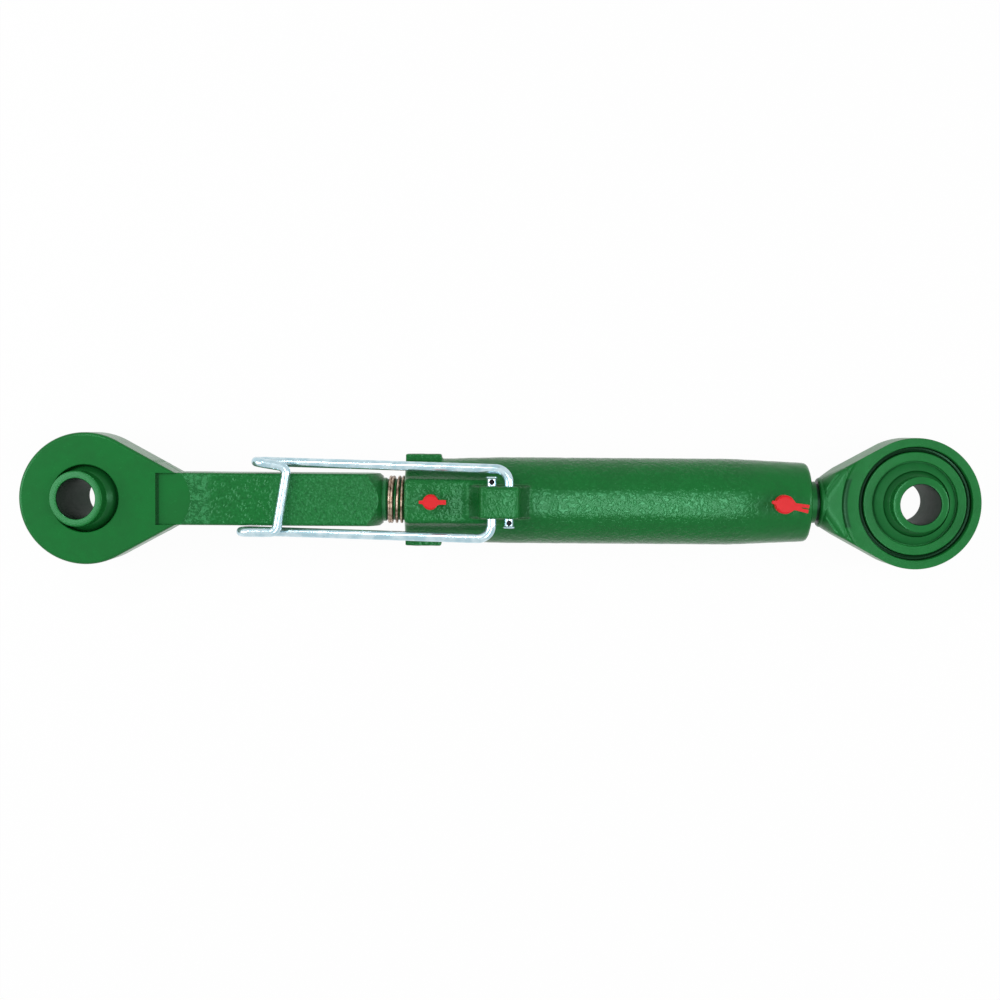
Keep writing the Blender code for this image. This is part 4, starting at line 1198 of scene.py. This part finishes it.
# how far along the spring has come after so many turns, in shares of its length
SPRING_PITCH = (
    (-1.0, 0.0), (0.0, 0.0), (1.0, 0.17), (1.5, 0.22), (2.5, 0.61), (3.2, 0.81), (4.0, 1.0), (5.0, 1.0)
)
SPRING_TURNS = 4


def spring_share(turns):
    """The share at a point of the coil, from the table, evened out over a part of a turn."""
    total = 0.0
    samples = [turns + shift / 20 for shift in range(-4, 5)]
    for sample in samples:
        for (before, low), (after, high) in zip(SPRING_PITCH, SPRING_PITCH[1:]):
            if before <= sample <= after:
                total += low + (high - low) * (sample - before) / (after - before)
                break
    return total / len(samples)


def thread_spring():
    start = BAR_END + COLLAR_LENGTH + CLEARANCE + SPRING_WIRE
    end = BARREL_FRONT - CLEARANCE - SPRING_WIRE
    radius = THREAD_RADIUS + CLEARANCE + SPRING_WIRE
    run = end - start
    route = helix(
        SPRING_TURNS, SPRING_STEPS, radius, lambda turn: start + run * spring_share(turn), math.pi, 1
    )
    coil = bent_wire("open_coil", route, SPRING_WIRE, 5)
    finish_piece(coil, "thread_spring", SPRING, "spring_steel", "thread_spring", smooth=60.0)


thread_spring()

# %% [markdown]
# The grease fittings sit under the caps, and show when a cap is pulled off. Each is turned from hexagon
# bar: a stem, the hexagon, and the head that the grease gun grips.

# %% Grease fittings
FITTING_STEM_LENGTH = 0.0075
FITTING_HEX_HALF = 0.0035
FITTING_HEX_HEIGHT = 0.0036
FITTING_HEIGHT = 0.0100
FITTING_HEAD_RADIUS = 0.0032
FITTING_BORE_RADIUS = 0.00155
FITTING_EDGE = 0.0010
FITTING_FLOOR = 0.0006


def grease_fitting(side, x, seat):
    name = side + "_nipple"
    head = FITTING_HEIGHT
    neck = FITTING_HEAD_RADIUS - FITTING_EDGE
    throat = FITTING_BORE_RADIUS / 2
    stem = -FITTING_STEM_LENGTH
    profile = [
        (throat, head - 0.0002),
        (throat + 0.0002, head),
        (neck, head),
        (neck + 0.0006, head - 0.0003),
        (FITTING_HEAD_RADIUS, head - FITTING_EDGE),
        (FITTING_HEAD_RADIUS, head - FITTING_EDGE * 2.4),
        (neck + 0.0003, head - FITTING_EDGE * 3.4),
        (neck, head - FITTING_EDGE * 3.8),
        (neck, FITTING_HEX_HEIGHT),
        (FITTING_STEM_RADIUS + CLEARANCE, FITTING_HEX_HEIGHT),
        (FITTING_STEM_RADIUS + CLEARANCE, 0.0),
        (FITTING_STEM_RADIUS, -0.0002),
        (FITTING_STEM_RADIUS, stem),
        (throat, stem),
        (throat, stem + FITTING_FLOOR),
        (FITTING_BORE_RADIUS, stem + FITTING_FLOOR),
        (FITTING_BORE_RADIUS, head - FITTING_EDGE * 2),
        (throat, head - FITTING_EDGE),
    ]
    origin = at(x, 0.0, seat + CLEARANCE)
    fitting = lathe(name, profile + [profile[0]], origin, "Z", 40)
    corner = FITTING_HEX_HALF / math.cos(math.pi / 6)
    inner = (FITTING_BORE_RADIUS + FITTING_STEM_RADIUS) / 2 / math.cos(math.pi / 6)
    low, high = 0.0003, FITTING_HEX_HEIGHT - 0.0003
    ring = [(inner, high), (corner, high), (corner, low), (inner, low), (inner, high)]
    hexagon = lathe(name + "_hexagon", ring, origin, "Z", 6)
    shape_with(fitting, "UNION", round_edges(hexagon, 0.0003, 2, 40.0))
    finish_piece(fitting, "barrel", ZINC, "zinc_plate", side + "_grease_fitting")


grease_fitting("front", FRONT_FITTING_X, BOSS_TOP)
grease_fitting("rear", REAR_FITTING_X, FITTING_SPOT_FACE)

# %% [markdown]
# The caps are soft red cups with a flat strap across the roof: a nub on one side and a pull tongue on the
# other. The front one's tongue is short, and the rear one's is long and split at its end.

# %% Grease caps
CAP_HEIGHT = 0.0082
CAP_ROOF = 0.0016
CAP_EDGE = 0.0015
TAB_THICKNESS = 0.0012
NUB_HALF = 0.0010
SLIT_HALF = 0.0003
FRONT_CAP_RADIUS = 0.0048
REAR_CAP_RADIUS = 0.0059
CAP_TURN = math.radians(-10.5)
# the rounded rim, as shares of the edge inwards and down
CAP_ROUND = ((1.0, 0.125), (0.6, 0.2), (0.3, 0.4), (0.1, 0.65), (0.0, 1.0))


def strap_outline(radius, nub, reach, half_root, half_tip, notch):
    upper = [(-nub, NUB_HALF), (-radius * 1.02, NUB_HALF * 1.15), (-radius * 0.82, radius * 0.54)]
    upper += [(radius * 0.68, radius * 0.70), (radius * 1.04, half_root), (reach, half_tip)]
    if notch:
        upper += [(reach, SLIT_HALF), (reach - notch, SLIT_HALF)]
    return upper + [(along, -across) for along, across in reversed(upper)]


def grease_cap(side, x, seat, radius, outline, turn):
    name = side + "_red_cap"
    foot = at(x, 0.0, seat + CLEARANCE + FITTING_HEX_HEIGHT + CLEARANCE)
    inner = FITTING_HEAD_RADIUS + CLEARANCE
    ceiling = CAP_HEIGHT - CAP_ROOF
    profile = [(0.0, CAP_HEIGHT)]
    for out, down in CAP_ROUND:
        profile.append((radius - CAP_EDGE * out, CAP_HEIGHT - CAP_EDGE * down))
    profile += [(radius, 0.0002), (radius - 0.0002, 0.0), (inner + 0.0002, 0.0), (inner, 0.0002)]
    profile += [(inner, ceiling), (0.0, ceiling)]
    cap = lathe(name, profile, foot, "Z", 56)
    low = ceiling + 0.0002
    strap = slab(name + "_strap", outline, foot, low, low + TAB_THICKNESS)
    strap.rotation_euler = (0.0, 0.0, turn)
    shape_with(cap, "UNION", round_edges(settle(strap), 0.0003, 2, 40.0))
    finish_piece(cap, side + "_grease_cap", RED, "red_plastic", side + "_grease_cap")


short_strap = strap_outline(FRONT_CAP_RADIUS, 0.0071, 0.0098, 0.0015, 0.0015, 0.0)
long_strap = strap_outline(REAR_CAP_RADIUS, 0.0086, 0.0148, 0.0022, 0.0027, 0.0045)
grease_cap("front", FRONT_FITTING_X, BOSS_TOP, FRONT_CAP_RADIUS, short_strap, 0.0)
grease_cap("rear", REAR_FITTING_X, FITTING_SPOT_FACE, REAR_CAP_RADIUS, long_strap, CAP_TURN)

# %% [markdown]
# The check balls and springs lie inside the fittings. Their CAD meshes are right as they are.

# %% Check balls and springs
for node in ("front_check_ball", "rear_check_ball", "front_check_spring", "rear_check_spring"):
    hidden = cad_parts[node]
    hidden.data.materials.clear()
    hidden.data.materials.append(BRIGHT)
print("check parts keep their CAD meshes")

# %% [markdown]
# The stage: a white floor, and plain studio light. The walls that face the middle of the picture are dark
# on the real link and the ones that face outwards are bright, so the main lamps stand beyond both ends. A
# long panel overhead draws the bright strip along the barrel, with a second one that only gloss can see. A
# small key lamp from the front corner brings out the wrinkles.

# %% Floor and light


def floor_finish():
    """White where the camera, gloss or glass looks, with a trace of the shadow; plain white for light."""
    coat = Finish("white_floor", Base_Color=(0.82, 0.82, 0.82), Roughness=0.9)
    seen = coat.add("LightPath", output="Is Camera Ray")
    for ray in ("Is Glossy Ray", "Is Transmission Ray"):
        seen = seen.most(coat.add("LightPath", output=ray))
    shaded = Reading(coat.tree, coat.shader.outputs[0])
    mixed = coat.add("MixShader", {0: seen * 0.97, 1: shaded, 2: coat.add("Emission", {"Strength": 1.0})})
    feed(coat.tree, coat.tree.nodes["Material Output"].inputs[0], mixed)
    return coat.material


def panel(name, place, aim, size, radiance):
    """A soft lamp that faces a point. Its power follows from how bright it looks."""
    width, height = size
    turn = (Vector(aim) - Vector(place)).to_track_quat("-Z", "Y").to_euler()
    bpy.ops.object.light_add(type="AREA", location=place, rotation=turn)
    lamp = bpy.context.object
    lamp.name = name
    lamp.data.shape = "RECTANGLE"
    lamp.data.size = width
    lamp.data.size_y = height
    lamp.data.energy = radiance * math.pi * width * height
    return lamp


bpy.ops.mesh.primitive_plane_add(size=8.0, location=(0.0, 0.0, -0.0004))
floor = fresh("studio_floor")
floor.data.materials.append(floor_finish())

panel("left_panel", (-1.05, 0.05, 0.70), (-0.08, 0.0, 0.0), (0.45, 0.80), 5.4)
panel("right_panel", (1.05, 0.05, 0.70), (0.08, 0.0, 0.0), (0.45, 0.80), 4.8)
panel("overhead_strip", (0.21, -0.31, 1.36), (0.21, -0.31, 0.0), (0.30, 1.40), 3.0)
panel("key", (-0.45, 0.45, 0.85), (0.0, 0.0, 0.0), (0.15, 0.15), 26.0)
shine = panel("shine_strip", (0.21, -0.31, 1.35), (0.21, -0.31, 0.0), (0.30, 1.40), 6.0)
shine.visible_diffuse = False

world = bpy.data.worlds.new("studio")
bpy.context.scene.world = world
world.use_nodes = True
backdrop = world.node_tree.nodes["Background"]
backdrop.inputs["Color"].default_value = (1.0, 1.0, 1.0, 1.0)
DIM, MIRRORED, SEEN = 0.32, 0.85, 1.0
strength = add_node(world.node_tree, "LightPath", output="Is Camera Ray") * (SEEN - DIM) + DIM
strength = strength + add_node(world.node_tree, "LightPath", output="Is Glossy Ray") * (MIRRORED - DIM)
feed(world.node_tree, backdrop.inputs["Strength"], strength)
bpy.context.scene.view_settings.view_transform = "Standard"
print("lamps: two side panels, an overhead strip, a key and a shine strip, and a world at", DIM)
